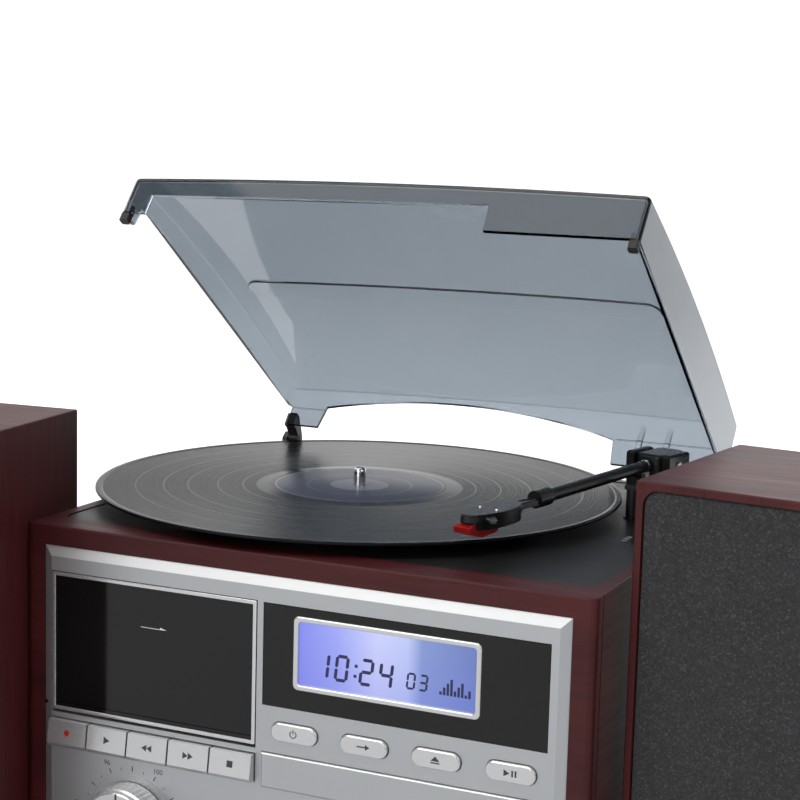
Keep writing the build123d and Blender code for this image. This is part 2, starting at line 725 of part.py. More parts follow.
BELT = Plane(origin=(SPX + OX, SPY + OY, 201.2), x_dir=(-cos(radians(45)), sin(radians(45)), 0), z_dir=(0, 0, 1))
with BuildPart() as drive_belt:
    with BuildSketch(BELT):
        with BuildLine():
            belt_outline(0.9)
        make_face()
    extrude(amount=3)
    with BuildSketch(BELT):
        with BuildLine():
            belt_outline(0.08)
        make_face()
    extrude(amount=3, mode=Mode.SUBTRACT)
save(drive_belt.part, "drive_belt")

PROF = Plane(origin=(SPX + OX, SPY + OY, 0), x_dir=(1, 0, 0), z_dir=(0, -1, 0))
SPIN = Axis((SPX + OX, SPY + OY, 0), (0, 0, 1))
with BuildPart() as platter:
    with BuildSketch(PROF):
        with BuildLine():
            Polyline((3.65, 198.9), (9, 198.9), (9, 206.4), (58.5, 206.4), (58.5, 199.4), (RING_R, 199.4),
                     (RING_R, 206.4), (97, 206.4), (97, 198.4), (99.2, 198.4), (PLATTER_R, 199.2),
                     (PLATTER_R, 208.6), (99.2, 209.4), (3.65, 209.4), close=True)
        make_face()
    revolve(axis=SPIN)
save(platter.part, "platter")

with BuildPart() as platter_mat:
    with BuildSketch(PROF):
        with BuildLine():
            Polyline((6, 209.4), (97, 209.4), (97, 211.3), (51, 211.3), (51, 211.0), (6, 211.0), close=True)
        make_face()
    revolve(axis=SPIN)
save(platter_mat.part, "platter_mat")

# long-playing record: thicker at the rim and under the label
with BuildPart() as record:
    with BuildSketch(PROF):
        with BuildLine():
            Polyline((3.65, 211.3), (150.2, 211.3), (LP_R, 211.8), (LP_R, 212.5), (150.2, 213.0), (147.6, 213.0),
                     (146.8, 212.6), (59, 212.6), (54, 212.85), (3.65, 212.85), close=True)
        make_face()
    revolve(axis=SPIN)
save(record.part, "record")

with BuildPart() as record_label:
    with BuildSketch(PROF):
        with BuildLine():
            Polyline((3.65, 212.85), (50, 212.85), (50, 212.95), (3.65, 212.95), close=True)
        make_face()
    revolve(axis=SPIN)
save(record_label.part, "record_label")

with BuildPart() as speed_switch:
    with BuildSketch(top(SWX, SWY, 198.6)):
        Rectangle(8, 10)
    extrude(amount=2.4)
    with BuildSketch(top(SWX, SWY, 201)):
        SlotOverall(8, 3.6, rotation=90)
    extrude(amount=4.2)
    with BuildSketch(top(SWX, SWY, 205.2)):
        RectangleRounded(8, 12, 2)
    extrude(amount=3.4)
    fillet(speed_switch.faces().sort_by(Axis.Z)[-1].edges(), 0.9)
save(speed_switch.part, "speed_switch")

with BuildPart() as cue_lever:
    with BuildSketch(side(CLX - 4.5, 0, 0)):
        with Locations((CLY, 209.8)):
            Circle(3.2)
    extrude(amount=9)
    with BuildSketch(side(CLX - 7.4, 0, 0)):
        with Locations((CLY, 209.8)):
            Circle(1.5)
    extrude(amount=14.8)
    with BuildSketch(side(CLX - 2, 0, 0)):
        with BuildLine():
            Polyline((CLY, 208.2), (CLY - 22, 209.6), (CLY - 27, 211.2), (CLY - 27, 213.4), (CLY - 21, 212), (CLY, 212.4), close=True)
        make_face()
    extrude(amount=4)
    with BuildSketch(top(CLX, CLY - 25, 210.8)):
        RectangleRounded(9, 8, 2)
    extrude(amount=3.2)
save(cue_lever.part, "cue_lever")


# ---------------------------------------------------------------- tonearm, laid along its own line
def arm(d, z, lateral=0.0):
    """Level plane on the arm's line, d in front of the pivot."""
    return Plane(origin=(PX + OX + UX * d - UY * lateral, PY + OY + UY * d + UX * lateral, z), x_dir=(UX, UY, 0), z_dir=(0, 0, 1))


def arm_side(d, z, lateral=0.0):
    """Upright plane along the arm's line; sketch x runs towards the stylus, sketch y up."""
    return Plane(origin=(PX + OX + UX * d - UY * lateral, PY + OY + UY * d + UX * lateral, z), x_dir=(UX, UY, 0), z_dir=(UY, -UX, 0))


def arm_cross(d, z):
    """Upright plane across the arm's line, facing the stylus."""
    return Plane(origin=(PX + OX + UX * d, PY + OY + UY * d, z), x_dir=(-UY, UX, 0), z_dir=(UX, UY, 0))


with BuildPart() as arm_base:
    with BuildSketch(top(PX, PY, 198.5)):
        Circle(9.9)
    extrude(amount=DECK_Z - 198.5)
    with BuildSketch(top(PX, PY, DECK_Z)):
        Circle(16)
    extrude(amount=4.4)
    fillet(arm_base.edges().group_by(Axis.Z)[-1], 1.2)
    with BuildSketch(top(PX, PY, 209)):
        Circle(12.5)
    extrude(amount=7)
    with BuildSketch(top(PX, PY, 198)):
        Circle(4.05)
    extrude(amount=20, mode=Mode.SUBTRACT)
save(arm_base.part, "arm_base")

with BuildPart() as arm_yoke:
    with BuildSketch(top(PX, PY, 199)):
        Circle(4.0)
    extrude(amount=17.3)
    with BuildSketch(arm(-1, 216.3)):
        RectangleRounded(28, 29, 5)
    extrude(amount=4.7)
    with BuildSketch(arm(-1, 221.0)):
        with Locations((0, 12), (0, -12)):
            Rectangle(22, 5)
    extrude(amount=14.8)
    # relief under the tail of the arm
    with BuildSketch(arm(-1, 221.0)):
        with Locations((-10, 0)):
            Rectangle(12, 18.8)
    extrude(amount=-2.2, mode=Mode.SUBTRACT)
    fillet(arm_yoke.edges().group_by(Axis.Z)[-1], 1.6)
    with BuildSketch(arm_side(0, ARM_Z, -16)):
        Circle(1.5)
    extrude(amount=32, both=True, mode=Mode.SUBTRACT)
save(arm_yoke.part, "arm_yoke")

DROP = Vector(UX, UY, -0.030).normalized()
with BuildPart() as arm_tube:
    # pivot block with its tail weight
    with BuildSketch(arm(-4.5, 221.8)):
        RectangleRounded(29, 18.4, 5)
    extrude(amount=13.2)
    fillet(arm_tube.faces().sort_by(Axis.Z)[-1].edges(), 2.0)
    with BuildSketch(arm_side(0, ARM_Z)):
        Circle(1.45)
    extrude(amount=14.2, both=True)
    # tube
    tube_start = Plane(origin=(PX + OX + UX * 6, PY + OY + UY * 6, ARM_Z - 0.2), x_dir=(-UY, UX, 0), z_dir=DROP)
    with BuildSketch(tube_start):
        Circle(3.5)
    extrude(amount=116)
    collar = Plane(origin=Vector(PX + OX + UX * 6, PY + OY + UY * 6, ARM_Z - 0.2) + DROP * 108, x_dir=(-UY, UX, 0), z_dir=DROP)
    with BuildSketch(collar):
        Circle(4.8)
    extrude(amount=12)
save(arm_tube.part, "arm_tube")

with BuildPart() as headshell:
    with BuildSketch(arm(126, 222.8)):
        with Locations((39, 0)):
            Ellipse(24, 9.6)
        with Locations((12.2, 0)):
            Rectangle(23.6, 6.8)
    extrude(amount=2.8)
    with BuildSketch(arm(126, 225.6)):
        with Locations((39, 0)):
            Ellipse(23.2, 8.8)
        with Locations((12.2, 0)):
            Rectangle(23.6, 5.4)
    extrude(amount=0.8)
    # deep sides round the cartridge
    with BuildSketch(arm(126, 222.8)):
        with Locations((39, 0)):
            Ellipse(23.4, 9.0)
    extrude(amount=-4.4)
    with BuildSketch(arm(126, 222.8)):
        with Locations((50, 0)):
            Rectangle(34, 10.6)
    extrude(amount=-5, mode=Mode.SUBTRACT)
    # lightening slot in the neck
    with BuildSketch(arm(126 + 9, 222)):
        SlotOverall(12, 2.2)
    extrude(amount=6, mode=Mode.SUBTRACT)
    # finger lift on the outer side
    with BuildSketch(arm(176, 224.0)):
        with BuildLine():
            Polyline((-4, 6.0), (4, 5.0), (11, 14.5), (10.2, 17.2), (7.2, 16.4), close=True)
        make_face()
    extrude(amount=1.2)
save(headshell.part, "headshell")

with BuildPart() as cartridge:
    # body
    with BuildSketch(arm_side(0, 0, -5)):
        with BuildLine():
            Polyline((160, 222.8), (160, 218.6), (183, 218.2), (185.6, 220.4), (185.6, 222.8), close=True)
        make_face()
    extrude(amount=-10)
    # stylus assembly, a blunt wedge
    with BuildSketch(arm_side(0, 0, -5.2)):
        with BuildLine():
            Polyline((164.5, 218.6), (167.5, 215.2), (180.5, 214.3), (190.4, 217.4), (191.2, 220.2), (187.4, 221.4), (185.6, 221.2), (185.6, 220.4), (183, 218.2), close=True)
        make_face()
    extrude(amount=-10.4)
    with BuildSketch(arm(178.5, 213.35)):
        Circle(0.35)
    extrude(amount=1.4)
save(cartridge.part, "cartridge")

with BuildPart() as arm_rest:
    with BuildSketch(top(117.1, 41.7, DECK_Z + 0.6)):
        Circle(3.6)
    extrude(amount=223.0 - DECK_Z - 0.6)
    with BuildSketch(top(118.9, 41.7, 221.0)):
        RectangleRounded(12, 7, 1.2)
    extrude(amount=2.0)
    with BuildSketch(top(123.9, 41.7, 223.0)):
        Rectangle(2.0, 7)
    extrude(amount=8)
save(arm_rest.part, "arm_rest")

# ---------------------------------------------------------------- dust cover, drawn shut, then opened about its hinge
CA, SA = cos(radians(OPEN)), sin(radians(OPEN))
LY = Vector(0, CA, -SA)        # backwards along the cover
LN = Vector(0, SA, CA)         # out through its top
HINGE = Vector(OX, HY + OY, HZ)


def cover_side(x):
    return Plane(origin=HINGE + Vector(x, 0, 0), x_dir=LY, z_dir=(1, 0, 0))


def cover_level(y, z):
    return Plane(origin=HINGE + LY * y + LN * z, x_dir=(1, 0, 0), z_dir=LN)


def cover_face(y):
    """Upright plane across the cover, sketch x to the right, sketch y out through the top."""
    return Plane(origin=HINGE + LY * y, x_dir=(1, 0, 0), z_dir=LY * -1)


CL, CRT = -144.5, 151.5        # left and right of the cover
CF, CR = -256.0, -13.5         # front and back of the cover, from the hinge
ARC_Y, ARC_Z = -88.6, -1225.7  # centre line that the panel bends about
ARC_TOP = 32.1                 # height of the panel at its sides, over ARC_Y
CROWN = 4.2                    # rise of the panel between its sides
LEAN = 3.0                     # rise of its right side over its left
BEND = Axis(tuple(HINGE + LY * ARC_Y + LN * ARC_Z), (1, 0, 0))


def cover_body(inset, low):
    """The cover's solid outline, drawn in by inset, down to low."""
    with BuildPart() as above:
        with BuildSketch(cover_face(ARC_Y)):
            with BuildLine():
                z = ARC_TOP - inset
                ThreePointArc((CL - 6, z - 0.5), ((CL + CRT) / 2, z + CROWN), (CRT + 6, z + LEAN))
                Polyline((CRT + 6, z + LEAN), (CRT + 6, 90), (CL - 6, 90), (CL - 6, z - 0.5))
            make_face()
        revolve(axis=BEND, revolution_arc=18)
    with BuildPart() as body:
        with BuildSketch(cover_side(CL + inset)):
            with BuildLine():
                Polyline((CF + inset, low), (CF + 0.7 + inset, 60), (CR - inset, 60), (CR - inset, low), close=True)
            make_face()
        extrude(amount=CRT - CL - 2 * inset)
        add(above.part.rotate(BEND, -9), mode=Mode.SUBTRACT)
    return body.part


def cover_round(part, low, side_r, front_r):
    """Round the upright edges, then the rim of the panel."""
    up = [e for e in part.edges() if abs((e @ 1 - e @ 0).normalized().dot(LN)) > 0.99]
    part = part.fillet(side_r, up)
    rim = [e for e in part.edges() if (e.center() - HINGE).dot(LN) > 12 and abs((e @ 1 - e @ 0).normalized().dot(LN)) < 0.9]
    return part.fillet(front_r, rim)


with BuildPart() as rib:
    with BuildSketch(cover_level(-135, 20)):
        with Locations((1.5, 0)):
            SlotOverall(257, 17)
    extrude(amount=22)
    add(cover_body(1.0, -2.5), mode=Mode.INTERSECT)
    add(cover_body(COVER_T + 1.1, -3.5), mode=Mode.SUBTRACT)
    fillet(rib.faces().sort_by(lambda f: (f.center() - HINGE).dot(LN))[0].edges(), 0.6)

with BuildPart() as dust_cover:
    add(cover_round(cover_body(0, -2.5), -2.5, 3.4, 3.0))
    add(cover_round(cover_body(COVER_T, -3.5), -3.5, 1.2, 0.9), mode=Mode.SUBTRACT)
    # record cut-out in the front skirt
    with BuildSketch(cover_face(CF - 2)):
        with BuildLine():
            Polyline((-129.5, -4), (-129.5, 9.6), (68.6, 13.6), (69.6, -4), close=True)
        make_face()
    extrude(amount=-8, mode=Mode.SUBTRACT)
    # record cut-out in the left wall
    with BuildSketch(cover_side(CL - 1)):
        with BuildLine():
            Polyline((CF + 13, -4), (CF + 15, 10.8), (-8, 15.7), (-8, -4), close=True)
        make_face()
    extrude(amount=COVER_T + 2, mode=Mode.SUBTRACT)
    # arch in the back wall; the left leg stops short of the record
    with BuildSketch(cover_face(CR + 2)):
        with BuildLine():
            Polyline((CL - 2, -4), (CL - 2, 2), (-119, 2), (-116.6, 17.0))
            ThreePointArc((-116.6, 17.0), (-40.5, 27.8), (72, 16.0))
            Polyline((72, 16.0), (78.2, 14), (80.6, -4), (CL - 2, -4))
        make_face()
    extrude(amount=8, mode=Mode.SUBTRACT)
    # shallow groove across the legs
    with BuildSketch(cover_face(CR - COVER_T + 0.6)):
        with Locations(((CL + 3 - 116) / 2, 14.2)):
            Rectangle(24, 0.8)
        with Locations(((CRT - 3 + 79) / 2, 14.2)):
            Rectangle(67, 0.8)
    extrude(amount=2, mode=Mode.SUBTRACT)
    # stiffening rib across the inside of the panel
    add(rib.part)
    # hinge ribs inside the back wall
    for rx in (94.0, 111.0):
        with BuildSketch(cover_side(rx)):
            with BuildLine():
                Polyline((CR - COVER_T + 0.3, 26.5), (CR - COVER_T - 2.2, 14), (CR - COVER_T - 2.2, 3), (CR - COVER_T + 0.3, 3), close=True)
            make_face()
        extrude(amount=3)
save(dust_cover.part, "dust_cover")

with BuildPart() as cover_hinge_arms:
    for hx, wide in ((-143.8, 7.0), (98.0, 12.0)):
        with BuildSketch(cover_side(hx)):
            with BuildLine():
                Polyline((CR, 2.4), (CR, 11), (CR + 4, 11), (2.4, 2.4), (0, -3.2), (-3.2, 0), (CR + 4, 2.4), close=True)
            make_face()
            Circle(3.4)
            Circle(1.65, mode=Mode.SUBTRACT)
        extrude(amount=wide)
save(cover_hinge_arms.part, "cover_hinge_arms")

with BuildPart() as hinge_blocks:
    for hx, px, reach in ((-147.6, -147.6, 11.2), (110.4, 97.4, 16.0)):
        with BuildSketch(side(hx, 0, 0)):
            with BuildLine():
                Polyline((HY - 7, DECK_Z), (HY - 4, HZ + 1), (HY, HZ + 4), (HY + 4, HZ + 1), (HY + 7, DECK_Z), close=True)
            make_face()
        extrude(amount=3.4)
        with BuildSketch(side(px, HY, HZ)):
            Circle(1.6)
        extrude(amount=reach)
save(hinge_blocks.part, "hinge_blocks")

with BuildPart() as cover_bumpers:
    for bx, px in ((CL + 2.8, CL + 4.7), (CRT - 2.8, CRT - 4.7)):
        with BuildSketch(cover_level(CF + 3.1, -2.5)):
            with Locations((bx, 0)):
                RectangleRounded(5.2, 5.0, 1.2)
        extrude(amount=-5.1)
        with BuildSketch(cover_level(CF + 4.2, -2.5)):
            with Locations((px, 0)):
                Rectangle(1.2, 2.2)
        extrude(amount=5)
save(cover_bumpers.part, "cover_bumpers")


# ================================================================ loudspeakers
def speaker(corner_x, corner_y, sign, toe, label):
    """Inner front corner, +1 for the right-hand one and -1 for the left-hand one, and how far it turns in."""
    a = radians(toe)
    ex, ey = cos(a), -sin(a) * sign                       # local x, to the right
    bx, by = sin(a) * sign, cos(a)                        # local y, to the back
    cx = corner_x + OX + ex * SPK_W / 2 * sign + bx * SPK_D / 2
    cy = corner_y + OY + ey * SPK_W / 2 * sign + by * SPK_D / 2

    def level(x, y, z):
        return Plane(origin=(cx + ex * x + bx * y, cy + ey * x + by * y, z), x_dir=(ex, ey, 0), z_dir=(0, 0, 1))

    def face(x, y, z):
        return Plane(origin=(cx + ex * x + bx * y, cy + ey * x + by * y, z), x_dir=(ex, ey, 0), z_dir=(-bx, -by, 0))

    yf, yb, zc = -SPK_D / 2, SPK_D / 2, SPK_H / 2
    with BuildPart() as box:
        with BuildSketch(level(0, 0, 0)):
            Rectangle(SPK_W, SPK_D)
        extrude(amount=SPK_H)
        fillet(box.edges(), 1.0)
        with BuildSketch(face(0, yf, zc)):
            RectangleRounded(SPK_W - 8, SPK_H - 8, 8)
        extrude(amount=-7.2, mode=Mode.SUBTRACT)
        with BuildSketch(face(0, yf + 17, zc)):
            Rectangle(SPK_W - 18, SPK_H - 18)
        extrude(amount=-(SPK_D - 26), mode=Mode.SUBTRACT)
        with BuildSketch(face(0, yf + 7, zc)):
            with Locations((0, -24)):
                Circle(46)
            with Locations((0, 78)):
                Circle(17)
        extrude(amount=-12, mode=Mode.SUBTRACT)
        with BuildSketch(face(0, yb + 1, 60)):
            RectangleRounded(40, 26, 3)
        extrude(amount=12, mode=Mode.SUBTRACT)
    save(box.part, label + "_speaker_box")

    with BuildPart() as grille:
        with BuildSketch(face(0, yf + 7.0, zc)):
            RectangleRounded(SPK_W - 8.6, SPK_H - 8.6, 7.7)
        extrude(amount=6.2)
        fillet(grille.faces().sort_by(Axis((cx, cy, zc), (-bx, -by, 0)))[-1].edges(), 1.6)
    save(grille.part, label + "_speaker_grille")

    with BuildPart() as drivers:
        # woofer basket, magnet and cone
        axis = Axis((cx + ex * 0, cy + ey * 0, zc - 24), (bx, by, 0))
        prof = Plane(origin=(cx, cy, zc - 24), x_dir=(bx, by, 0), z_dir=(ex, ey, 0))
        with BuildSketch(prof):
            with BuildLine():
                Polyline((yf + 20, 0), (yf + 20, 12), (yf + 10, 38), (yf + 8, 41), (yf + 8, 45.8), (yf + 18, 45.8),
                         (yf + 38, 26), (yf + 38, 33), (yf + 56, 33), (yf + 56, 0), close=True)
            make_face()
        revolve(axis=axis)
        # tweeter
        with BuildSketch(face(0, yf + 7.4, zc + 78)):
            Circle(16.8)
        extrude(amount=-16)
        # terminal cup with its two clips
        with BuildSketch(face(0, yb, 60)):
            RectangleRounded(39.6, 25.6, 2.8)
        extrude(amount=9)
        with BuildSketch(face(0, yb, 60)):
            with Locations((-9, 0), (9, 0)):
                Rectangle(9, 14)
        extrude(amount=-4)
    save(drivers.part, label + "_speaker_drivers")


speaker(167.8, -118.1, 1, TOE_R, "right")
speaker(-154.2, -215.5, -1, TOE_L, "left")
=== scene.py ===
import json
import math
import bpy
import bmesh
from mathutils import Vector, Matrix


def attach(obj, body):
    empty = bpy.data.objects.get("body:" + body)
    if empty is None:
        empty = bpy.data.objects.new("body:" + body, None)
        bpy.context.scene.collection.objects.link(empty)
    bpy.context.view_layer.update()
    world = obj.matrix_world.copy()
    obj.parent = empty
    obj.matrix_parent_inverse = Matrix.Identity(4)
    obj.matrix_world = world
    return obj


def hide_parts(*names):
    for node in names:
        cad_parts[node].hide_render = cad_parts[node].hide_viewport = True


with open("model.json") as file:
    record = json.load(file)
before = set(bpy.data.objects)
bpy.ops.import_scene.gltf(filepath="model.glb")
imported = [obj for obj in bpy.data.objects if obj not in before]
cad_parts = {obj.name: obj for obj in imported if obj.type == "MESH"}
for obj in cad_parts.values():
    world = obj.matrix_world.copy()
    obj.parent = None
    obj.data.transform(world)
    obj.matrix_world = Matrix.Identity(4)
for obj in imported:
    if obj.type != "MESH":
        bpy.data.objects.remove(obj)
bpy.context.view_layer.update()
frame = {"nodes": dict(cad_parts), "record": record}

NODES = frame["nodes"]
OX, OY = -9.025, 34.877       # cabinet centre in the row frame, mm
sin, cos, pi = math.sin, math.cos, math.pi
SC = bpy.context.scene


def cab(x, y, z):
    """Cabinet millimetres to row-frame metres."""
    return Vector(((x + OX) / 1000, (y + OY) / 1000, z / 1000))


# =====================================================================================
# material building
# =====================================================================================
class Mat:
    def __init__(self, name, **sockets):
        self.m = bpy.data.materials.new(name)
        self.m.use_nodes = True
        self.nt = self.m.node_tree
        self.b = self.nt.nodes["Principled BSDF"]
        self.out = self.nt.nodes["Material Output"]
        self._tc = None
        self.put(**sockets)

    def put(self, **sockets):
        names = {"color": "Base Color", "rough": "Roughness", "metal": "Metallic", "spec": "Specular IOR Level", "ior": "IOR",
                 "coat": "Coat Weight", "coat_rough": "Coat Roughness", "trans": "Transmission Weight", "sheen": "Sheen Weight",
                 "sheen_rough": "Sheen Roughness", "emit": "Emission Color", "emit_s": "Emission Strength", "normal": "Normal",
                 "coat_normal": "Coat Normal", "aniso": "Anisotropic", "aniso_rot": "Anisotropic Rotation", "tangent": "Tangent",
                 "alpha": "Alpha"}
        for k, v in sockets.items():
            self.set(self.b.inputs[names[k]], v)
        return self

    def set(self, sock, v):
        if isinstance(v, bpy.types.NodeSocket):
            self.nt.links.new(v, sock)
        else:
            if sock.type == "RGBA" and len(v) == 3:
                v = (*v, 1.0)
            sock.default_value = v

    def n(self, kind, ins=None, **props):
        node = self.nt.nodes.new("ShaderNode" + kind)
        for k, v in props.items():
            setattr(node, k, v)
        for k, v in (ins or {}).items():
            self.set(node.inputs[k], v)
        return node

    @property
    def obj(self):
        if self._tc is None:
            self._tc = self.n("TexCoord")
        return self._tc.outputs["Object"]

    def mapped(self, scale=(1, 1, 1), loc=(0, 0, 0), rot=(0, 0, 0), src=None):
        return self.n("Mapping", {"Vector": src or self.obj, "Scale": scale, "Location": loc, "Rotation": rot}).outputs[0]

    def noise(self, vec, scale, detail=4, rough=0.5, dist=0.0, out="Fac"):
        return self.n("TexNoise", {"Vector": vec, "Scale": scale, "Detail": detail, "Roughness": rough, "Distortion": dist}).outputs[out]

    def voronoi(self, vec, scale, feature="F1", out="Distance", rand=1.0):
        return self.n("TexVoronoi", {"Vector": vec, "Scale": scale, "Randomness": rand}, feature=feature).outputs[out]

    def ramp(self, fac, stops, interp="LINEAR"):
        r = self.n("ValToRGB", {"Fac": fac})
        cr = r.color_ramp
        cr.interpolation = interp
        while len(cr.elements) > 1:
            cr.elements.remove(cr.elements[-1])
        for i, (p, c) in enumerate(stops):
            if not hasattr(c, "__len__"):
                c = (c, c, c)
            e = cr.elements[0] if i == 0 else cr.elements.new(p)
            e.position = p
            e.color = (*c, 1.0)
        return r.outputs["Color"]

    def rng(self, fac, a, b, c, d):
        return self.n("MapRange", {"Value": fac, "From Min": a, "From Max": b, "To Min": c, "To Max": d}).outputs["Result"]

    def math(self, op, a, b=None, c=None):
        node = self.n("Math", operation=op)
        for i, v in enumerate((a, b, c)):
            if v is not None:
                self.set(node.inputs[i], v)
        return node.outputs[0]

    def mix(self, fac, a, b, mode="MIX"):
        node = self.n("Mix", data_type="RGBA", blend_type=mode)
        self.set(node.inputs["Factor"], fac)
        self.set(node.inputs["A"], a)
        self.set(node.inputs["B"], b)
        return node.outputs["Result"]

    def bump(self, height, strength=0.3, dist=0.0005, normal=None):
        ins = {"Height": height, "Strength": strength, "Distance": dist}
        if normal is not None:
            ins["Normal"] = normal
        return self.n("Bump", ins).outputs["Normal"]

    def xyz(self, src=None):
        s = self.n("SeparateXYZ", {"Vector": src or self.obj})
        return s.outputs["X"], s.outputs["Y"], s.outputs["Z"]


def cherry(name, grain="X", tint=1.0, seed=0.0, top_grain=None):
    """Satin dark cherry veneer, grain along the named axis, and along top_grain on faces that look up or down."""
    m = Mat(name)
    lo, hi = 1.3, 26.0
    table = {"X": (lo, hi, hi), "Y": (hi, lo, hi), "Z": (hi, hi, lo)}
    sc = table[grain]
    if top_grain:
        nz = m.n("SeparateXYZ", {"Vector": m.n("NewGeometry").outputs["Normal"]}).outputs["Z"]
        up = m.math("GREATER_THAN", m.math("ABSOLUTE", nz), 0.6)
        pick = m.n("Mix", data_type="VECTOR")
        m.set(pick.inputs["Factor"], up)
        pick.inputs[4].default_value = sc
        pick.inputs[5].default_value = table[top_grain]
        scale_v = pick.outputs[1]
    else:
        scale_v = None

    def grained(k, loc=(0, 0, 0)):
        if scale_v is None:
            return m.mapped(tuple(v * k for v in sc), loc=loc)
        sv = m.n("VectorMath", {0: scale_v, "Scale": k}, operation="SCALE").outputs[0]
        node = m.n("Mapping", {"Vector": m.obj, "Location": loc})
        m.nt.links.new(sv, node.inputs["Scale"])
        return node.outputs[0]

    warp = m.noise(grained(0.25, (seed, seed * 1.7, 0)), 2.0, 2, 0.5, out="Color")
    base = grained(1.0, (seed, seed, seed))
    vec = m.n("VectorMath", {0: base, 1: m.n("VectorMath", {0: warp, "Scale": 0.5}, operation="SCALE").outputs[0]}, operation="ADD").outputs[0]
    bands = m.noise(vec, 1.6, 5, 0.55)
    fine = m.noise(grained(9.0, (seed, 0, seed)), 1.4, 4, 0.6)
    pores = m.noise(grained(22.0), 1.0, 2, 0.5)
    c = m.ramp(bands, [(0.28, (0.040 * tint, 0.0050 * tint, 0.0060 * tint)), (0.5, (0.062 * tint, 0.0085 * tint, 0.0098 * tint)),
                       (0.72, (0.088 * tint, 0.013 * tint, 0.0135 * tint))])
    c = m.mix(m.rng(fine, 0.35, 0.75, 0.0, 0.40), c, (0.034 * tint, 0.0045 * tint, 0.0055 * tint))
    c = m.mix(m.rng(pores, 0.62, 0.72, 0.0, 0.45), c, (0.014, 0.002, 0.003))
    haze = m.noise(m.mapped((9, 9, 9)), 1.0, 3, 0.5)
    m.put(color=c, rough=m.rng(fine, 0.3, 0.7, 0.40, 0.50), ior=1.33,
          normal=m.bump(fine, 0.06, 0.0002))
    return m.m


def black_plastic(name, base=0.012, rough=0.3, grain=0.15, scale=2600.0, coat=0.0, ior=1.42):
    m = Mat(name)
    g = m.noise(m.obj, scale, 3, 0.6)
    big = m.noise(m.obj, 22.0, 3, 0.5)
    c = m.ramp(big, [(0.3, (base * 0.85,) * 3), (0.7, (base * 1.2, base * 1.2, base * 1.25))])
    m.put(color=c, rough=m.rng(big, 0.3, 0.7, rough * 0.9, rough * 1.15), normal=m.bump(g, grain, 0.00012), coat=coat, coat_rough=0.05, ior=ior)
    return m.m


def silver_paint(name, base=(0.44, 0.455, 0.47), rough=0.34, brushed=None):
    m = Mat(name)
    fl = m.voronoi(m.obj, 5200.0, out="Color")
    v = m.n("SeparateColor", {"Color": fl}).outputs[0]
    big = m.noise(m.obj, 14.0, 3, 0.5)
    c = m.mix(m.rng(v, 0.0, 1.0, 0.0, 0.16), base, tuple(min(1.0, b * 1.25) for b in base))
    c = m.mix(m.rng(big, 0.3, 0.7, 0.0, 0.06), c, tuple(b * 0.8 for b in base))
    if brushed:
        s = {"X": (8, 2600, 2600), "Y": (2600, 8, 2600), "Z": (2600, 2600, 8)}[brushed]
        v = m.noise(m.mapped(s), 1.0, 2, 0.5)
    # faces that look up are painted near white (0.93): a painted reflection of the bright surroundings on the upward
    # bevels and tops
    nz = m.n("SeparateXYZ", {"Vector": m.n("NewGeometry").outputs["Normal"]}).outputs["Z"]
    c = m.mix(m.rng(nz, 0.15, 0.5, 0.0, 1.0), c, (0.93, 0.93, 0.925))
    m.put(color=c, metal=0.75, rough=m.rng(v, 0.0, 1.0, rough * 0.85, rough * 1.15), normal=m.bump(v, 0.05, 0.0001))
    return m.m


def metal(name, color, rough, brushed=None):
    m = Mat(name)
    if brushed:
        s = {"X": (30, 3000, 3000), "Y": (3000, 30, 3000), "Z": (3000, 3000, 30)}[brushed]
        v = m.noise(m.mapped(s), 1.0, 3, 0.5)
    else:
        v = m.noise(m.obj, 320.0, 3, 0.5)
    big = m.noise(m.obj, 40.0, 2, 0.5)
    m.put(color=m.mix(m.rng(big, 0.3, 0.7, 0.0, 0.25), color, tuple(c * 0.82 for c in color)), metal=1.0,
          rough=m.rng(v, 0.25, 0.75, rough * 0.75, rough * 1.3), normal=m.bump(v, 0.04, 0.0001))
    return m.m


def rubber(name, base=0.02):
    m = Mat(name)
    g = m.noise(m.obj, 1800.0, 3, 0.6)
    d = m.noise(m.obj, 60.0, 3, 0.6)
    m.put(color=m.ramp(d, [(0.3, (base * 0.8,) * 3), (0.75, (base * 1.5,) * 3)]), rough=0.62, normal=m.bump(g, 0.2, 0.0002))
    return m.m


def board(name):
    m = Mat(name)
    x, y, z = m.xyz()
    tr = m.n("TexBrick", {"Vector": m.mapped((60, 60, 60), rot=(0.3, 0.2, 0.1)), "Scale": 6.0, "Mortar Size": 0.06}).outputs["Fac"]
    n1 = m.noise(m.obj, 30, 3)
    c = m.mix(tr, (0.012, 0.08, 0.03), (0.03, 0.16, 0.06))
    c = m.mix(m.rng(n1, 0.3, 0.7, 0, 0.3), c, (0.008, 0.05, 0.02))
    m.put(color=c, rough=0.42, normal=m.bump(tr, 0.2, 0.0001), coat=0.3, coat_rough=0.2)
    return m.m


# ------------------------------------------------------------------ record, label, mat, platter
SPX, SPY = (-36.3 + OX) / 1000, (7.5 + OY) / 1000


def radius_of(m):
    """Distance from the spindle, and the angle round it, in row-frame metres."""
    x, y, z = m.xyz()
    dx, dy = m.math("SUBTRACT", x, SPX), m.math("SUBTRACT", y, SPY)
    r = m.math("SQRT", m.math("ADD", m.math("MULTIPLY", dx, dx), m.math("MULTIPLY", dy, dy)))
    a = m.math("ARCTAN2", dy, dx)
    return r, a, z


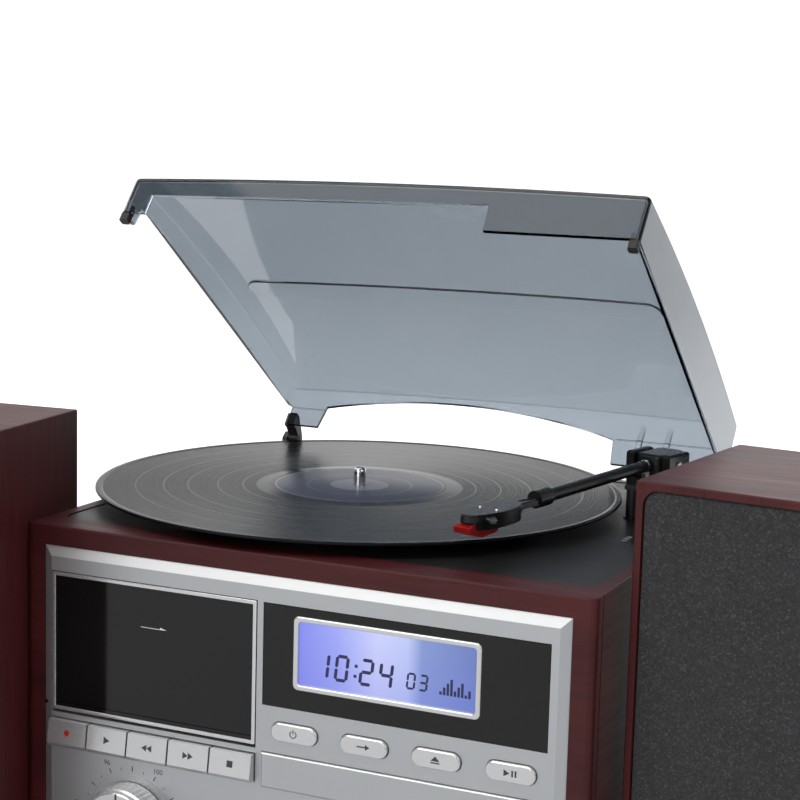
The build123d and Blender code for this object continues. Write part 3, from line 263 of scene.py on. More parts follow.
def vinyl(name):
    m = Mat(name)
    r, a, z = radius_of(m)
    # pitch of the groove varies slowly over the side; gaps between the tracks are smooth
    rv = m.n("CombineXYZ", {"X": m.math("MULTIPLY", r, 1000.0), "Y": 0.0, "Z": 0.0}).outputs[0]
    loud = m.noise(rv, 1.9, 6, 0.75)
    slow = m.noise(rv, 0.16, 3, 0.6)
    gaps = [0.0672, 0.0815, 0.0986, 0.1124, 0.1283]
    gap = None
    for g in gaps:
        d = m.math("ABSOLUTE", m.math("SUBTRACT", r, g))
        w = m.rng(d, 0.00025, 0.0006, 1.0, 0.0)
        gap = w if gap is None else m.math("MAXIMUM", gap, w)
    smooth = m.math("MAXIMUM", gap, m.math("MAXIMUM", m.rng(r, 0.0598, 0.0590, 0.0, 1.0), m.rng(r, 0.1462, 0.1468, 0.0, 1.0)))
    groove = m.math("SINE", m.math("MULTIPLY", r, 2 * pi / 0.00042))
    h = m.math("ADD", m.math("MULTIPLY", groove, 0.5), loud)
    h = m.math("MULTIPLY", h, m.math("SUBTRACT", 1.0, smooth))
    tone = m.mix(m.rng(slow, 0.3, 0.7, 0.0, 1.0), (0.008, 0.0085, 0.0095), (0.014, 0.015, 0.017))
    tone = m.mix(smooth, tone, (0.006, 0.006, 0.007))
    rough = m.math("ADD", m.rng(loud, 0.25, 0.75, 0.20, 0.34), m.math("MULTIPLY", smooth, -0.09))
    tan = m.n("Tangent", direction_type="RADIAL", axis="Z").outputs[0]
    dust = m.noise(m.obj, 900.0, 2, 0.5)
    rough = m.math("ADD", rough, m.rng(dust, 0.66, 0.72, 0.0, 0.12))
    m.put(color=tone, rough=rough, aniso=0.72, tangent=tan, normal=m.bump(h, 0.07, 0.00004), ior=1.17)
    return m.m


def label_paper(name):
    """A plain two-tone label: a lighter centre disc, fine rings and a broad half-ring of another shade where the print
    would be.
    """
    m = Mat(name)
    r, a, z = radius_of(m)
    n1 = m.noise(m.obj, 260.0, 4, 0.6)
    fibre = m.noise(m.mapped((900, 2400, 900)), 1.0, 3, 0.6)
    c = m.mix(m.rng(n1, 0.35, 0.65, 0.0, 0.35), (0.056, 0.061, 0.102), (0.074, 0.081, 0.124))
    # rings
    for rad, wid, col in ((0.0482, 0.0005, (0.24, 0.25, 0.32)), (0.0300, 0.00035, (0.19, 0.20, 0.27)), (0.0175, 0.0006, (0.024, 0.026, 0.045))):
        d = m.math("ABSOLUTE", m.math("SUBTRACT", r, rad))
        c = m.mix(m.rng(d, wid * 0.7, wid * 1.1, 1.0, 0.0), c, col)
    # the middle, and a broad half-ring of another shade
    c = m.mix(m.rng(r, 0.0170, 0.0172, 0.85, 0.0), c, (0.22, 0.23, 0.29))
    half = m.math("MULTIPLY", m.rng(a, 0.2, 0.22, 0.0, 1.0), m.rng(a, 2.9, 2.92, 1.0, 0.0))
    band = m.math("MULTIPLY", m.rng(r, 0.0320, 0.0322, 0.0, 1.0), m.rng(r, 0.0450, 0.0452, 1.0, 0.0))
    c = m.mix(m.math("MULTIPLY", m.math("MULTIPLY", half, band), 0.55), c, (0.034, 0.038, 0.075))
    m.put(color=c, rough=m.rng(n1, 0.3, 0.7, 0.33, 0.35), normal=m.bump(n1, 0.01, 0.00002), ior=1.28)
    return m.m


def mat_rubber(name):
    m = Mat(name)
    r, a, z = radius_of(m)
    ring = m.math("SINE", m.math("MULTIPLY", r, 2 * pi / 0.0022))
    g = m.noise(m.obj, 1500.0, 3, 0.6)
    m.put(color=m.ramp(m.noise(m.obj, 40, 3), [(0.3, (0.012,) * 3), (0.7, (0.022,) * 3)]), rough=0.6,
          normal=m.bump(m.math("ADD", m.math("MULTIPLY", ring, 0.6), g), 0.4, 0.0003))
    return m.m


def turned_alloy(name):
    m = Mat(name)
    r, a, z = radius_of(m)
    rv = m.n("CombineXYZ", {"X": m.math("MULTIPLY", r, 1000.0), "Y": m.math("MULTIPLY", z, 1000.0), "Z": 0.0}).outputs[0]
    v = m.noise(rv, 5.0, 4, 0.6)
    m.put(color=(0.62, 0.62, 0.63), metal=1.0, rough=m.rng(v, 0.3, 0.7, 0.2, 0.36), normal=m.bump(v, 0.08, 0.0001),
          aniso=0.6, tangent=m.n("Tangent", direction_type="RADIAL", axis="Z").outputs[0])
    return m.m


# ------------------------------------------------------------------ smoked acrylic, cloth, display
def smoked(name):
    m = Mat(name)
    haze = m.noise(m.obj, 11.0, 3, 0.5)
    fine = m.noise(m.obj, 340.0, 3, 0.6)
    tint = m.ramp(haze, [(0.3, (0.205, 0.238, 0.272)), (0.7, (0.218, 0.248, 0.280))])
    m.put(color=tint, rough=m.rng(fine, 0.3, 0.7, 0.035, 0.06), trans=1.0, ior=1.49, spec=0.5)
    return m.m


def cloth(name):
    """Acoustic foam cloth: dark grey with a fine light speckle."""
    m = Mat(name)
    cell = m.voronoi(m.obj, 1150.0)
    col = m.n("SeparateColor", {"Color": m.voronoi(m.obj, 1150.0, out="Color")}).outputs[0]
    fine = m.noise(m.obj, 2600.0, 3, 0.65)
    big = m.noise(m.obj, 60.0, 3, 0.5)
    c = m.ramp(col, [(0.0, (0.030, 0.030, 0.031)), (0.60, (0.044, 0.044, 0.046)), (0.90, (0.060, 0.060, 0.063)), (1.0, (0.088, 0.088, 0.092))])
    c = m.mix(m.rng(fine, 0.3, 0.7, 0.0, 0.45), c, (0.032, 0.032, 0.034))
    c = m.mix(m.rng(big, 0.35, 0.65, 0.0, 0.10), c, (0.06, 0.06, 0.064))
    h = m.math("ADD", m.math("MULTIPLY", cell, -0.8), fine)
    m.put(color=c, rough=0.95, normal=m.bump(h, 0.32, 0.0002), sheen=0.12, sheen_rough=0.5, spec=0.15)
    return m.m


def display(name):
    m = Mat(name)
    x, y, z = m.xyz()
    fx = m.rng(x, (5.2 + OX) / 1000, (101.2 + OX) / 1000, 0.0, 1.0)
    fz = m.rng(z, 0.1408, 0.1734, 0.0, 1.0)
    c = m.ramp(fx, [(0.0, (0.20, 0.24, 0.86)), (0.22, (0.33, 0.38, 0.95)), (0.45, (0.62, 0.66, 1.0)), (0.62, (0.52, 0.60, 0.95)),
                    (0.70, (0.20, 0.29, 0.62)), (1.0, (0.10, 0.17, 0.48))])
    c = m.mix(m.rng(fz, 0.0, 1.0, 0.35, 0.0), c, (0.12, 0.15, 0.7))
    dots = m.n("TexChecker", {"Vector": m.mapped((1400, 1400, 1400)), "Scale": 1.0, "Color1": (1, 1, 1, 1), "Color2": (0.93, 0.93, 0.93, 1)}).outputs["Color"]
    c = m.mix(1.0, c, dots, "MULTIPLY")
    m.put(color=(0.02, 0.02, 0.06), emit=c, emit_s=0.95, rough=0.12, coat=1.0, coat_rough=0.02)
    return m.m


def plain(name, color, rough, var=0.12, coat=0.0, metal_w=0.0, grain=0.1):
    m = Mat(name)
    a = m.noise(m.obj, 35.0, 3, 0.5)
    g = m.noise(m.obj, 2200.0, 2, 0.5)
    m.put(color=m.mix(m.rng(a, 0.3, 0.7, 0.0, 1.0), tuple(c * (1 - var) for c in color), tuple(min(1, c * (1 + var)) for c in color)),
          rough=m.rng(a, 0.3, 0.7, rough * 0.9, rough * 1.1), normal=m.bump(g, grain, 0.0001), coat=coat, coat_rough=0.06, metal=metal_w)
    return m.m


def pickup(name):
    """Black pickup body with a red stylus holder below it and in front of it."""
    m = Mat(name)
    x, y, z = m.xyz()
    px, py = (116.7 + OX) / 1000, (86.7 + OY) / 1000
    d = m.math("ADD", m.math("MULTIPLY", m.math("SUBTRACT", x, px), -0.2334), m.math("MULTIPLY", m.math("SUBTRACT", y, py), -0.9724))
    low = m.math("MAXIMUM", m.math("LESS_THAN", z, 0.2187), m.math("GREATER_THAN", d, 0.1857))
    a = m.noise(m.obj, 120.0, 3, 0.5)
    g = m.noise(m.obj, 2200.0, 2, 0.5)
    red = m.mix(m.rng(a, 0.3, 0.7, 0.0, 1.0), (0.30, 0.008, 0.009), (0.38, 0.012, 0.012))
    blk = m.mix(m.rng(a, 0.3, 0.7, 0.0, 1.0), (0.008, 0.008, 0.009), (0.012, 0.012, 0.013))
    m.put(color=m.mix(low, blk, red), rough=m.rng(a, 0.3, 0.7, 0.26, 0.34), normal=m.bump(g, 0.1, 0.0001), spec=0.4)
    return m.m


MT = {
    "cherry_x": cherry("cherry_grain_x", "X", seed=0.3),
    "cherry_y": cherry("cherry_grain_y", "Y", seed=1.9, top_grain="X"),
    "cherry_z": cherry("cherry_grain_z", "Z", 1.15, seed=4.1, top_grain="X"),
    "deck": black_plastic("deck_plastic", 0.012, 0.42, 0.16, 1800, ior=1.33),
    "gloss": black_plastic("gloss_black", 0.0045, 0.07, 0.0, ior=1.4),
    "black": black_plastic("matt_black", 0.014, 0.40, 0.25, 2600),
    "black_satin": black_plastic("satin_black", 0.012, 0.26, 0.12, 2600),
    "panel": black_plastic("rear_black", 0.018, 0.5, 0.5, 1500),
    "silver": silver_paint("silver_front", rough=0.36),
    "silver_trim": silver_paint("silver_trim", (0.60, 0.61, 0.62), 0.20),
    "silver_knob": silver_paint("silver_knob", (0.55, 0.56, 0.57), 0.26),
    "chrome": metal("chrome", (0.82, 0.82, 0.83), 0.07),
    "steel": metal("steel", (0.52, 0.52, 0.54), 0.32, "Z"),
    "brass": metal("brass", (0.75, 0.56, 0.26), 0.22, "Z"),
    "rubber": rubber("rubber"),
    "board": board("circuit_board"),
    "vinyl": vinyl("vinyl"),
    "label": label_paper("label_paper"),
    "mat": mat_rubber("platter_mat_rubber"),
    "alloy": turned_alloy("turned_alloy"),
    "smoked": smoked("smoked_acrylic"),
    "cloth": cloth("grille_foam"),
    "display": display("display_light"),
    "pickup": pickup("pickup_body"),
    "red": plain("stylus_red", (0.42, 0.012, 0.012), 0.32, 0.1, coat=0.3),
    "red_gloss": plain("red_socket", (0.5, 0.015, 0.012), 0.25, 0.08),
    "white": plain("white_plastic", (0.75, 0.75, 0.73), 0.32, 0.05),
    "ivory": plain("ivory_plastic", (0.66, 0.64, 0.58), 0.4, 0.05),
    "ink": plain("print_ink", (0.035, 0.035, 0.037), 0.5, 0.1),
    "ink_white": plain("print_white", (0.78, 0.78, 0.77), 0.5, 0.04),
    "lcd_ink": plain("display_segments", (0.012, 0.016, 0.09), 0.3, 0.1),
}

SLOT_MAT = {"cherry": "cherry_x", "grille_cloth": "cloth", "silver_front": "silver", "black_gloss": "gloss", "black_deck": "deck",
            "black_matte": "black", "rubber": "rubber", "chrome": "chrome", "platter_alloy": "alloy", "steel": "steel",
            "brass_pulley": "brass", "mat_rubber": "mat", "vinyl": "vinyl", "label_paper": "label", "smoked": "smoked",
            "display_blue": "display", "red_plastic": "red", "board_green": "board", "ivory_plastic": "ivory"}
NODE_MAT = {"rear_panel": "panel", "cartridge": "pickup", "left_speaker_box": "cherry_z", "right_speaker_box": "cherry_z", "case_wrap": "cherry_y",
            "arm_tube": "black_satin", "headshell": "black_satin", "arm_yoke": "black_satin", "arm_base": "black_satin",
            "volume_knob": "silver_knob", "tuning_knob": "silver_knob", "lcd_frame": "silver_trim",
            "power_button": "silver_trim", "source_button": "silver_trim", "open_button": "silver_trim", "play_button": "silver_trim",
            "key_record": "silver_trim", "key_play": "silver_trim", "key_rewind": "silver_trim", "key_forward": "silver_trim", "key_stop": "silver_trim"}

slots = {s["node"]: s["material_slot"] for s in frame["record"]["subparts"]}


def set_material(o, m):
    o.data.materials.clear()
    o.data.materials.append(m)


for name, o in NODES.items():
    set_material(o, MT[NODE_MAT.get(name, SLOT_MAT[slots[name]])])


# =====================================================================================
# mesh helpers
# =====================================================================================
def add_mesh(name, me, material, body, smooth=None):
    o = bpy.data.objects.new(name, me)
    SC.collection.objects.link(o)
    if material is not None:
        me.materials.append(MT[material] if isinstance(material, str) else material)
    if smooth is not None:
        for p in me.polygons:
            p.use_smooth = True
        bm = bmesh.new()
        bm.from_mesh(me)
        for e in bm.edges:
            if len(e.link_faces) == 2:
                e.smooth = e.calc_face_angle(0.0) < math.radians(smooth)
            else:
                e.smooth = False
        bm.to_mesh(me)
        bm.free()
    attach(o, body)
    return o


def mesh_from(bm, name):
    bmesh.ops.recalc_face_normals(bm, faces=bm.faces[:])
    me = bpy.data.meshes.new(name)
    bm.to_mesh(me)
    bm.free()
    return me


def lathe(name, profile, centre, material, body, n=192, axis=(0, 0, 1), closed=True, smooth=28.0):
    """Revolves (radius, height) millimetre points about an axis through centre (row metres)."""
    bm = bmesh.new()
    z = Vector(axis).normalized()
    x = z.orthogonal().normalized()
    y = z.cross(x)
    c = Vector(centre)
    rings = []
    for r, h in profile:
        if r < 1e-6:
            rings.append([bm.verts.new(c + z * (h / 1000))])
        else:
            rings.append([bm.verts.new(c + (x * cos(2 * pi * i / n) + y * sin(2 * pi * i / n)) * (r / 1000) + z * (h / 1000)) for i in range(n)])
    pairs = list(zip(rings, rings[1:]))
    if closed:
        pairs.append((rings[-1], rings[0]))
    for a, b in pairs:
        if len(a) == 1 and len(b) == 1:
            continue
        for i in range(n):
            j = (i + 1) % n
            if len(a) == 1:
                bm.faces.new((a[0], b[i], b[j]))
            elif len(b) == 1:
                bm.faces.new((a[i], b[0], a[j]))
            else:
                bm.faces.new((a[i], b[i], b[j], a[j]))
    return add_mesh(name, mesh_from(bm, name), material, body, smooth)


def prism(name, pts, origin, ux, uy, depth, material, body, bevel=0.0, holes=(), smooth=35.0):
    """A flat outline (mm, in the plane of unit vectors ux and uy at origin, row metres) thickened by depth mm along ux x uy."""
    ux, uy = Vector(ux).normalized(), Vector(uy).normalized()
    w = ux.cross(uy)
    o = Vector(origin)
    bm = bmesh.new()

    def ring(p, h):
        return [bm.verts.new(o + ux * (a / 1000) + uy * (b / 1000) + w * (h / 1000)) for a, b in p]

    if not holes:
        lo, hi = ring(pts, 0.0), ring(pts, depth)
        n = len(pts)
        bm.faces.new(lo)
        top = bm.faces.new(hi)
        for i in range(n):
            j = (i + 1) % n
            bm.faces.new((lo[i], lo[j], hi[j], hi[i]))
        if bevel:
            bmesh.ops.bevel(bm, geom=list(top.edges), offset=bevel / 1000, segments=2, affect="EDGES", profile=0.5)
    else:
        inner = holes[0]
        n = len(pts)
        lo, hi, li, hi2 = ring(pts, 0.0), ring(pts, depth), ring(inner, 0.0), ring(inner, depth)
        tops = []
        for i in range(n):
            j = (i + 1) % n
            bm.faces.new((lo[i], lo[j], hi[j], hi[i]))
            bm.faces.new((li[j], li[i], hi2[i], hi2[j]))
            tops.append(bm.faces.new((hi[i], hi[j], hi2[j], hi2[i])))
            bm.faces.new((lo[j], lo[i], li[i], li[j]))
        if bevel:
            es = {e for f in tops for e in f.edges if sum(1 for g in e.link_faces if g in tops) == 1}
            bmesh.ops.bevel(bm, geom=list(es), offset=bevel / 1000, segments=2, affect="EDGES", profile=0.5)
    return add_mesh(name, mesh_from(bm, name), material, body, smooth)


def rounded_rect(w, h, r, n=6, cx=0.0, cy=0.0):
    pts = []
    for sx, sy, a0 in ((1, 1, 0), (-1, 1, 90), (-1, -1, 180), (1, -1, 270)):
        for k in range(n + 1):
            a = math.radians(a0 + 90 * k / n)
            pts.append((cx + sx * (w / 2 - r) + r * cos(a), cy + sy * (h / 2 - r) + r * sin(a)))
    return pts


def circle_pts(r, n=48, cx=0.0, cy=0.0):
    return [(cx + r * cos(2 * pi * i / n), cy + r * sin(2 * pi * i / n)) for i in range(n)]


def text_piece(name, body_text, size, origin, ux, uy, material, body, thick=0.05, align="CENTER"):
    """Generic numerals laid on a surface, as a mesh."""
    cu = bpy.data.curves.new(name, "FONT")
    cu.body = body_text
    cu.size = size / 1000
    cu.align_x = align
    cu.align_y = "CENTER"
    cu.extrude = thick / 2000
    cu.resolution_u = 4
    tmp = bpy.data.objects.new(name + "_t", cu)
    SC.collection.objects.link(tmp)
    bpy.context.view_layer.update()
    me = bpy.data.meshes.new_from_object(tmp.evaluated_get(bpy.context.evaluated_depsgraph_get()))
    bpy.data.objects.remove(tmp)
    me.name = name
    ux, uy = Vector(ux).normalized(), Vector(uy).normalized()
    w = ux.cross(uy)
    rot = Matrix((ux, uy, w)).transposed().to_4x4()
    me.transform(Matrix.Translation(Vector(origin) + w * (thick / 2000)) @ rot)
    me.materials.clear()
    return add_mesh(name, me, material, body)


X, Y, Z = Vector((1, 0, 0)), Vector((0, 1, 0)), Vector((0, 0, 1))

# =====================================================================================
# record player pieces
# =====================================================================================
SP = Vector((SPX, SPY, 0))
# long-playing record: raised rim bead, recessed groove area, raised label area
prof = [(3.65, 211.32), (150.0, 211.32), (150.55, 211.45), (150.8, 211.8), (150.8, 212.45), (150.5, 212.85), (149.9, 213.0),
        (148.4, 213.0), (147.2, 212.86), (146.6, 212.62), (60.0, 212.60), (55.0, 212.66), (53.2, 212.84), (50.2, 212.86), (3.9, 212.86), (3.65, 212.7)]
rec = lathe("record_disc", prof, SP, "vinyl", "turntable", n=360, smooth=20)
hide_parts("record")
lab = lathe("record_label_disc", [(3.8, 212.86), (49.8, 212.86), (50.0, 212.9), (49.8, 212.96), (3.8, 212.96)], SP, "label", "turntable", n=192)
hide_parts("record_label")
# rubber mat with moulded rings, seen round the record's edge from below
ringprof = [(6.0, 209.42)] + [(97.0, 209.42), (97.4, 209.8), (97.2, 211.2), (96.6, 211.3)]
r = 95.0
while r > 53:
    ringprof += [(r, 211.3), (r - 0.5, 210.9), (r - 1.6, 210.9), (r - 2.1, 211.3)]
    r -= 5.2
ringprof += [(51.0, 211.3), (50.6, 211.0), (6.0, 211.0)]
mt_piece = lathe("platter_mat_ribbed", ringprof, SP, "mat", "turntable", n=180)
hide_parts("platter_mat")
pl = lathe("platter_turned", [(3.66, 198.9), (9, 198.9), (9, 206.4), (58.5, 206.4), (58.5, 199.4), (62, 199.4), (62, 206.4), (97, 206.4),
                              (97, 198.6), (97.6, 198.4), (99.3, 198.4), (99.8, 198.9), (100, 200.2), (100, 208.4), (99.7, 209.1), (99.0, 209.4), (3.66, 209.4)],
           SP, "alloy", "turntable", n=240, smooth=24)
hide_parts("platter")
# spindle with a domed tip
spn = lathe("spindle_pin", [(0, 190.5), (8, 190.5), (8, 192.5), (3.6, 192.6), (3.6, 220.6), (3.5, 221.6), (3.1, 222.6), (2.4, 223.3), (1.3, 223.7), (0, 223.8)],
            SP, "chrome", "cabinet", n=64, closed=False)
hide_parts("spindle")

# =====================================================================================
# front: door trim, marks, display digits, dials
# =====================================================================================
FZ = Vector((0, 0, 1))


def front_at(x, y, z):
    return cab(x, y, z)


DL, DR = -142.3, -18.8
cx, cz = (DL + DR) / 2, (105.5 + 181.0) / 2
# raised silver rim of the cassette door
outer = rounded_rect(DR - DL - 0.2, 75.3, 0.6, 3)
inner = rounded_rect(DR - DL - 4.2, 71.3, 0.4, 3)
prism("door_rim", outer, cab(cx, -145.58, cz), X, Z, 0.22, "silver_trim", "door", bevel=0.12, holes=(inner,))
# arrow that shows which way the tape runs
ax0, az0 = -80.0, 157.8
prism("door_arrow", [(-7.5, 0.16), (4.2, 0.16), (4.2, 1.1), (8.0, 0.0), (4.2, -0.16), (-7.5, -0.16)], cab(ax0, -145.1, az0), X, Z, 0.08, "ink_white", "door")

# seven-segment digits
SEG = {"0": "abcdef", "1": "bc", "2": "abged", "3": "abgcd", "4": "fgbc", "5": "afgcd", "6": "afgedc", "7": "abc", "8": "abcdefg", "9": "abcfgd"}


def seg_quads(ch, x0, z0, w, h, t):
    g = 0.12 * t
    sl = 0.10
    q = []

    def hseg(y):
        return [(g + t * 0.5, y), (t, y + t / 2), (w - t, y + t / 2), (w - g - t * 0.5, y), (w - t, y - t / 2), (t, y - t / 2)]

    def vseg(x, ya, yb):
        return [(x, ya + g), (x + t / 2, ya + t / 2), (x + t / 2, yb - t / 2), (x, yb - g), (x - t / 2, yb - t / 2), (x - t / 2, ya + t / 2)]

    for s in SEG[ch]:
        p = {"a": lambda: hseg(h - t / 2), "g": lambda: hseg(h / 2), "d": lambda: hseg(t / 2),
             "f": lambda: vseg(t / 2, h / 2, h - t / 2), "b": lambda: vseg(w - t / 2, h / 2, h - t / 2),
             "e": lambda: vseg(t / 2, t / 2, h / 2), "c": lambda: vseg(w - t / 2, t / 2, h / 2)}[s]()
        q.append([(x0 + a + sl * b, z0 + b) for a, b in p])
    return q


def flat_polys(name, polys, origin, ux, uy, depth, material, body):
    ux, uy = Vector(ux).normalized(), Vector(uy).normalized()
    w = ux.cross(uy)
    o = Vector(origin)
    bm = bmesh.new()
    for p in polys:
        lo = [bm.verts.new(o + ux * (a / 1000) + uy * (b / 1000)) for a, b in p]
        hi = [bm.verts.new(o + ux * (a / 1000) + uy * (b / 1000) + w * (depth / 1000)) for a, b in p]
        bm.faces.new(lo)
        bm.faces.new(hi)
        for i in range(len(p)):
            j = (i + 1) % len(p)
            bm.faces.new((lo[i], lo[j], hi[j], hi[i]))
    return add_mesh(name, mesh_from(bm, name), material, body)


polys = []
xx = 0.0
for ch in "1024":
    polys += seg_quads(ch, xx, 0.0, 7.6, 14.0, 1.7)
    xx += 10.6 if ch != "0" else 13.6
for dz in (4.2, 9.4):
    polys.append([(21.3 + dz * 0.1, dz - 0.8), (22.9 + dz * 0.1, dz - 0.8), (22.9 + dz * 0.1, dz + 0.8), (21.3 + dz * 0.1, dz + 0.8)])
flat_polys("display_time", polys, cab(14.0, -144.72, 145.5), X, Z, 0.08, "lcd_ink", "cabinet")
polys = []
for k, ch in enumerate("03"):
    polys += seg_quads(ch, k * 6.6, 0.0, 4.8, 8.6, 1.1)
for k in range(9):        # level bars
    hgt = 1.6 + (k * 37 % 7) * 1.1
    polys.append([(18.0 + k * 1.9, 0), (19.3 + k * 1.9, 0), (19.3 + k * 1.9, hgt), (18.0 + k * 1.9, hgt)])
flat_polys("display_track", polys, cab(64.0, -144.72, 147.5), X, Z, 0.08, "lcd_ink", "cabinet")

# dials: scale strokes and numerals
for kx, body, names, lo_a, hi_a in ((92.0, "volume", [str(i) for i in range(0, 11)], -150, 150), (-92.0, "tuning", ["88", "90", "92", "94", "96", "98", "100", "102", "104", "106", "108"], -135, 135)):
    strokes = []
    count = (len(names) - 1) * 2
    for i in range(count + 1):
        a = math.radians(90 - (lo_a + (hi_a - lo_a) * i / count))
        r0, r1 = (28.6, 31.4) if i % 2 == 0 else (28.9, 30.3)
        w = 0.28 if i % 2 == 0 else 0.18
        dx, dz = cos(a), sin(a)
        strokes.append([(r0 * dx - w * dz, r0 * dz + w * dx), (r1 * dx - w * dz, r1 * dz + w * dx), (r1 * dx + w * dz, r1 * dz - w * dx), (r0 * dx + w * dz, r0 * dz - w * dx)])
    flat_polys("scale_" + body, strokes, cab(kx, -145.5, 50.0), X, Z, 0.04, "ink", "cabinet")
    for i, t in enumerate(names):
        a = math.radians(90 - (lo_a + (hi_a - lo_a) * i / (len(names) - 1)))
        rr = 34.6
        if body == "tuning" and i % 2:
            continue
        text_piece("numeral_%s_%d" % (body, i), t, 4.0, cab(kx + rr * cos(a), -145.5, 50.0 + rr * sin(a)), X, Z, "ink", "cabinet")

# knobs with fine fluting, a turned face and a pointer
for kx, body, node in ((92.0, "volume", "volume_knob"), (-92.0, "tuning", "tuning_knob")):
    bm = bmesh.new()
    n = 288
    prof = [(22.6, 0.0), (23.0, 0.5), (23.0, 10.9), (22.7, 11.8), (21.7, 12.2), (21.6, 12.6), (21.4, 14.6), (20.6, 15.3), (19.4, 15.4), (16.9, 15.4), (16.4, 14.75), (0, 14.55)]
    rings = []
    for k, (r, h) in enumerate(prof):
        row = []
        if r == 0:
            row = [bm.verts.new(cab(kx, -146.1 - h, 50.0))]
        else:
            for i in range(n):
                rr = r
                if k in (1, 2):
                    rr = r - 0.42 * (0.5 + 0.5 * cos(2 * pi * i / 6.0))
                a = 2 * pi * i / n
                row.append(bm.verts.new(cab(kx + rr * cos(a), -146.1 - h, 50.0 + rr * sin(a))))
        rings.append(row)
    inner = [bm.verts.new(cab(kx + 19.5 * cos(2 * pi * i / n), -146.1, 50.0 + 19.5 * sin(2 * pi * i / n))) for i in range(n)]
    deep = [bm.verts.new(cab(kx + 19.5 * cos(2 * pi * i / n), -154.0, 50.0 + 19.5 * sin(2 * pi * i / n))) for i in range(n)]
    mid = bm.verts.new(cab(kx, -154.0, 50.0))
    for a, b in [(inner, rings[0])] + list(zip(rings, rings[1:])) + [(deep, inner)]:
        for i in range(n):
            j = (i + 1) % n
            if len(b) == 1:
                bm.faces.new((a[i], a[j], b[0]))
            else:
                bm.faces.new((a[i], a[j], b[j], b[i]))
    for i in range(n):
        bm.faces.new((deep[(i + 1) % n], deep[i], mid))
    kn = add_mesh("knob_" + body, mesh_from(bm, "knob_" + body), "silver_knob", body, smooth=30)
    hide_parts(node)
    prism("knob_mark_" + body, rounded_rect(1.1, 4.6, 0.5, 4), cab(kx, -161.48, 68.9), X, Z, 0.12, "ink", body, bevel=0.04)

# shafts behind the knobs stay visible only from below
for kx, body in ((92.0, "volume"), (-92.0, "tuning")):
    lathe("knob_shaft_" + body, [(0, 0), (2.55, 0), (2.55, 18.0), (0, 18.0)], cab(kx, -135.2, 50.0), "steel", body, n=32, axis=(0, -1, 0), closed=False)

# marks on keys and buttons
KP = 24.86
KX0 = -142.7
marks = {
    "record": [circle_pts(1.7, 24)],
    "play": [[(-1.6, -2.0), (2.0, 0.0), (-1.6, 2.0)]],
    "rewind": [[(-0.1, -1.8), (-0.1, 1.8), (-3.1, 0.0)], [(3.0, -1.8), (3.0, 1.8), (0.0, 0.0)]],
    "forward": [[(0.1, 1.8), (0.1, -1.8), (3.1, 0.0)], [(-3.0, 1.8), (-3.0, -1.8), (0.0, 0.0)]],
    "stop": [[(-1.7, -1.7), (1.7, -1.7), (1.7, 1.7), (-1.7, 1.7)]],
}
kdir = Vector((0, -1.8, -12.3)).normalized() * -1
for i, k in enumerate(("record", "play", "rewind", "forward", "stop")):
    kx = KX0 + KP * (i + 0.5)
    t = 0.5
    oy = -151.0 + t * 1.8
    oz = 88.4 + t * 12.3
    flat_polys("key_mark_" + k, marks[k], cab(kx, oy - 0.0, oz), X, kdir, 0.06, "red" if k == "record" else "ink", k + "_key")

for bx, k, ps in ((4.0, "power", None), (43.0, "source", [[(-3.4, -0.35), (1.2, -0.35), (1.2, -1.5), (3.6, 0.0), (1.2, 1.5), (1.2, 0.35), (-3.4, 0.35)]]),
                  (82.0, "open", [[(-2.4, -0.6), (2.4, -0.6), (0.0, 1.9)], [(-2.4, -1.8), (2.4, -1.8), (2.4, -1.15), (-2.4, -1.15)]]),
                  (121.0, "play", [[(-3.2, -1.7), (-0.2, 0.0), (-3.2, 1.7)], [(0.8, -1.6), (1.7, -1.6), (1.7, 1.6), (0.8, 1.6)], [(2.5, -1.6), (3.4, -1.6), (3.4, 1.6), (2.5, 1.6)]])):
    if ps is None:
        ps = []
        for i in range(20):
            a0 = math.radians(120 + 300 * i / 20)
            a1 = math.radians(120 + 300 * (i + 1) / 20)
            ps.append([(1.5 * cos(a0), 1.5 * sin(a0)), (2.0 * cos(a0), 2.0 * sin(a0)), (2.0 * cos(a1), 2.0 * sin(a1)), (1.5 * cos(a1), 1.5 * sin(a1))])
        ps.append([(-0.25, 0.3), (0.25, 0.3), (0.25, 2.5), (-0.25, 2.5)])
    flat_polys("button_mark_" + k, ps, cab(bx, -147.5, 115.0), X, Z, 0.05, "ink", k)

# =====================================================================================
# deck details
# =====================================================================================
for t, dy in (("33", -4.5), ("45", 0.0), ("78", 4.5)):
    text_piece("speed_" + t, t, 3.0, cab(131.5, -12.0 + dy, 204.61), X, Y, "ink_white", "cabinet")
# tonearm: pivot screws, headshell screws and a chrome ring on the arm
U = Vector((-0.2334, -0.9724, 0)).normalized()
PERP = Vector((-U.y, U.x, 0))
PIV = cab(116.7, 86.7, 0)


def armp(d, lat, z):
    return PIV + U * (d / 1000) + PERP * (lat / 1000) + Vector((0, 0, z / 1000))


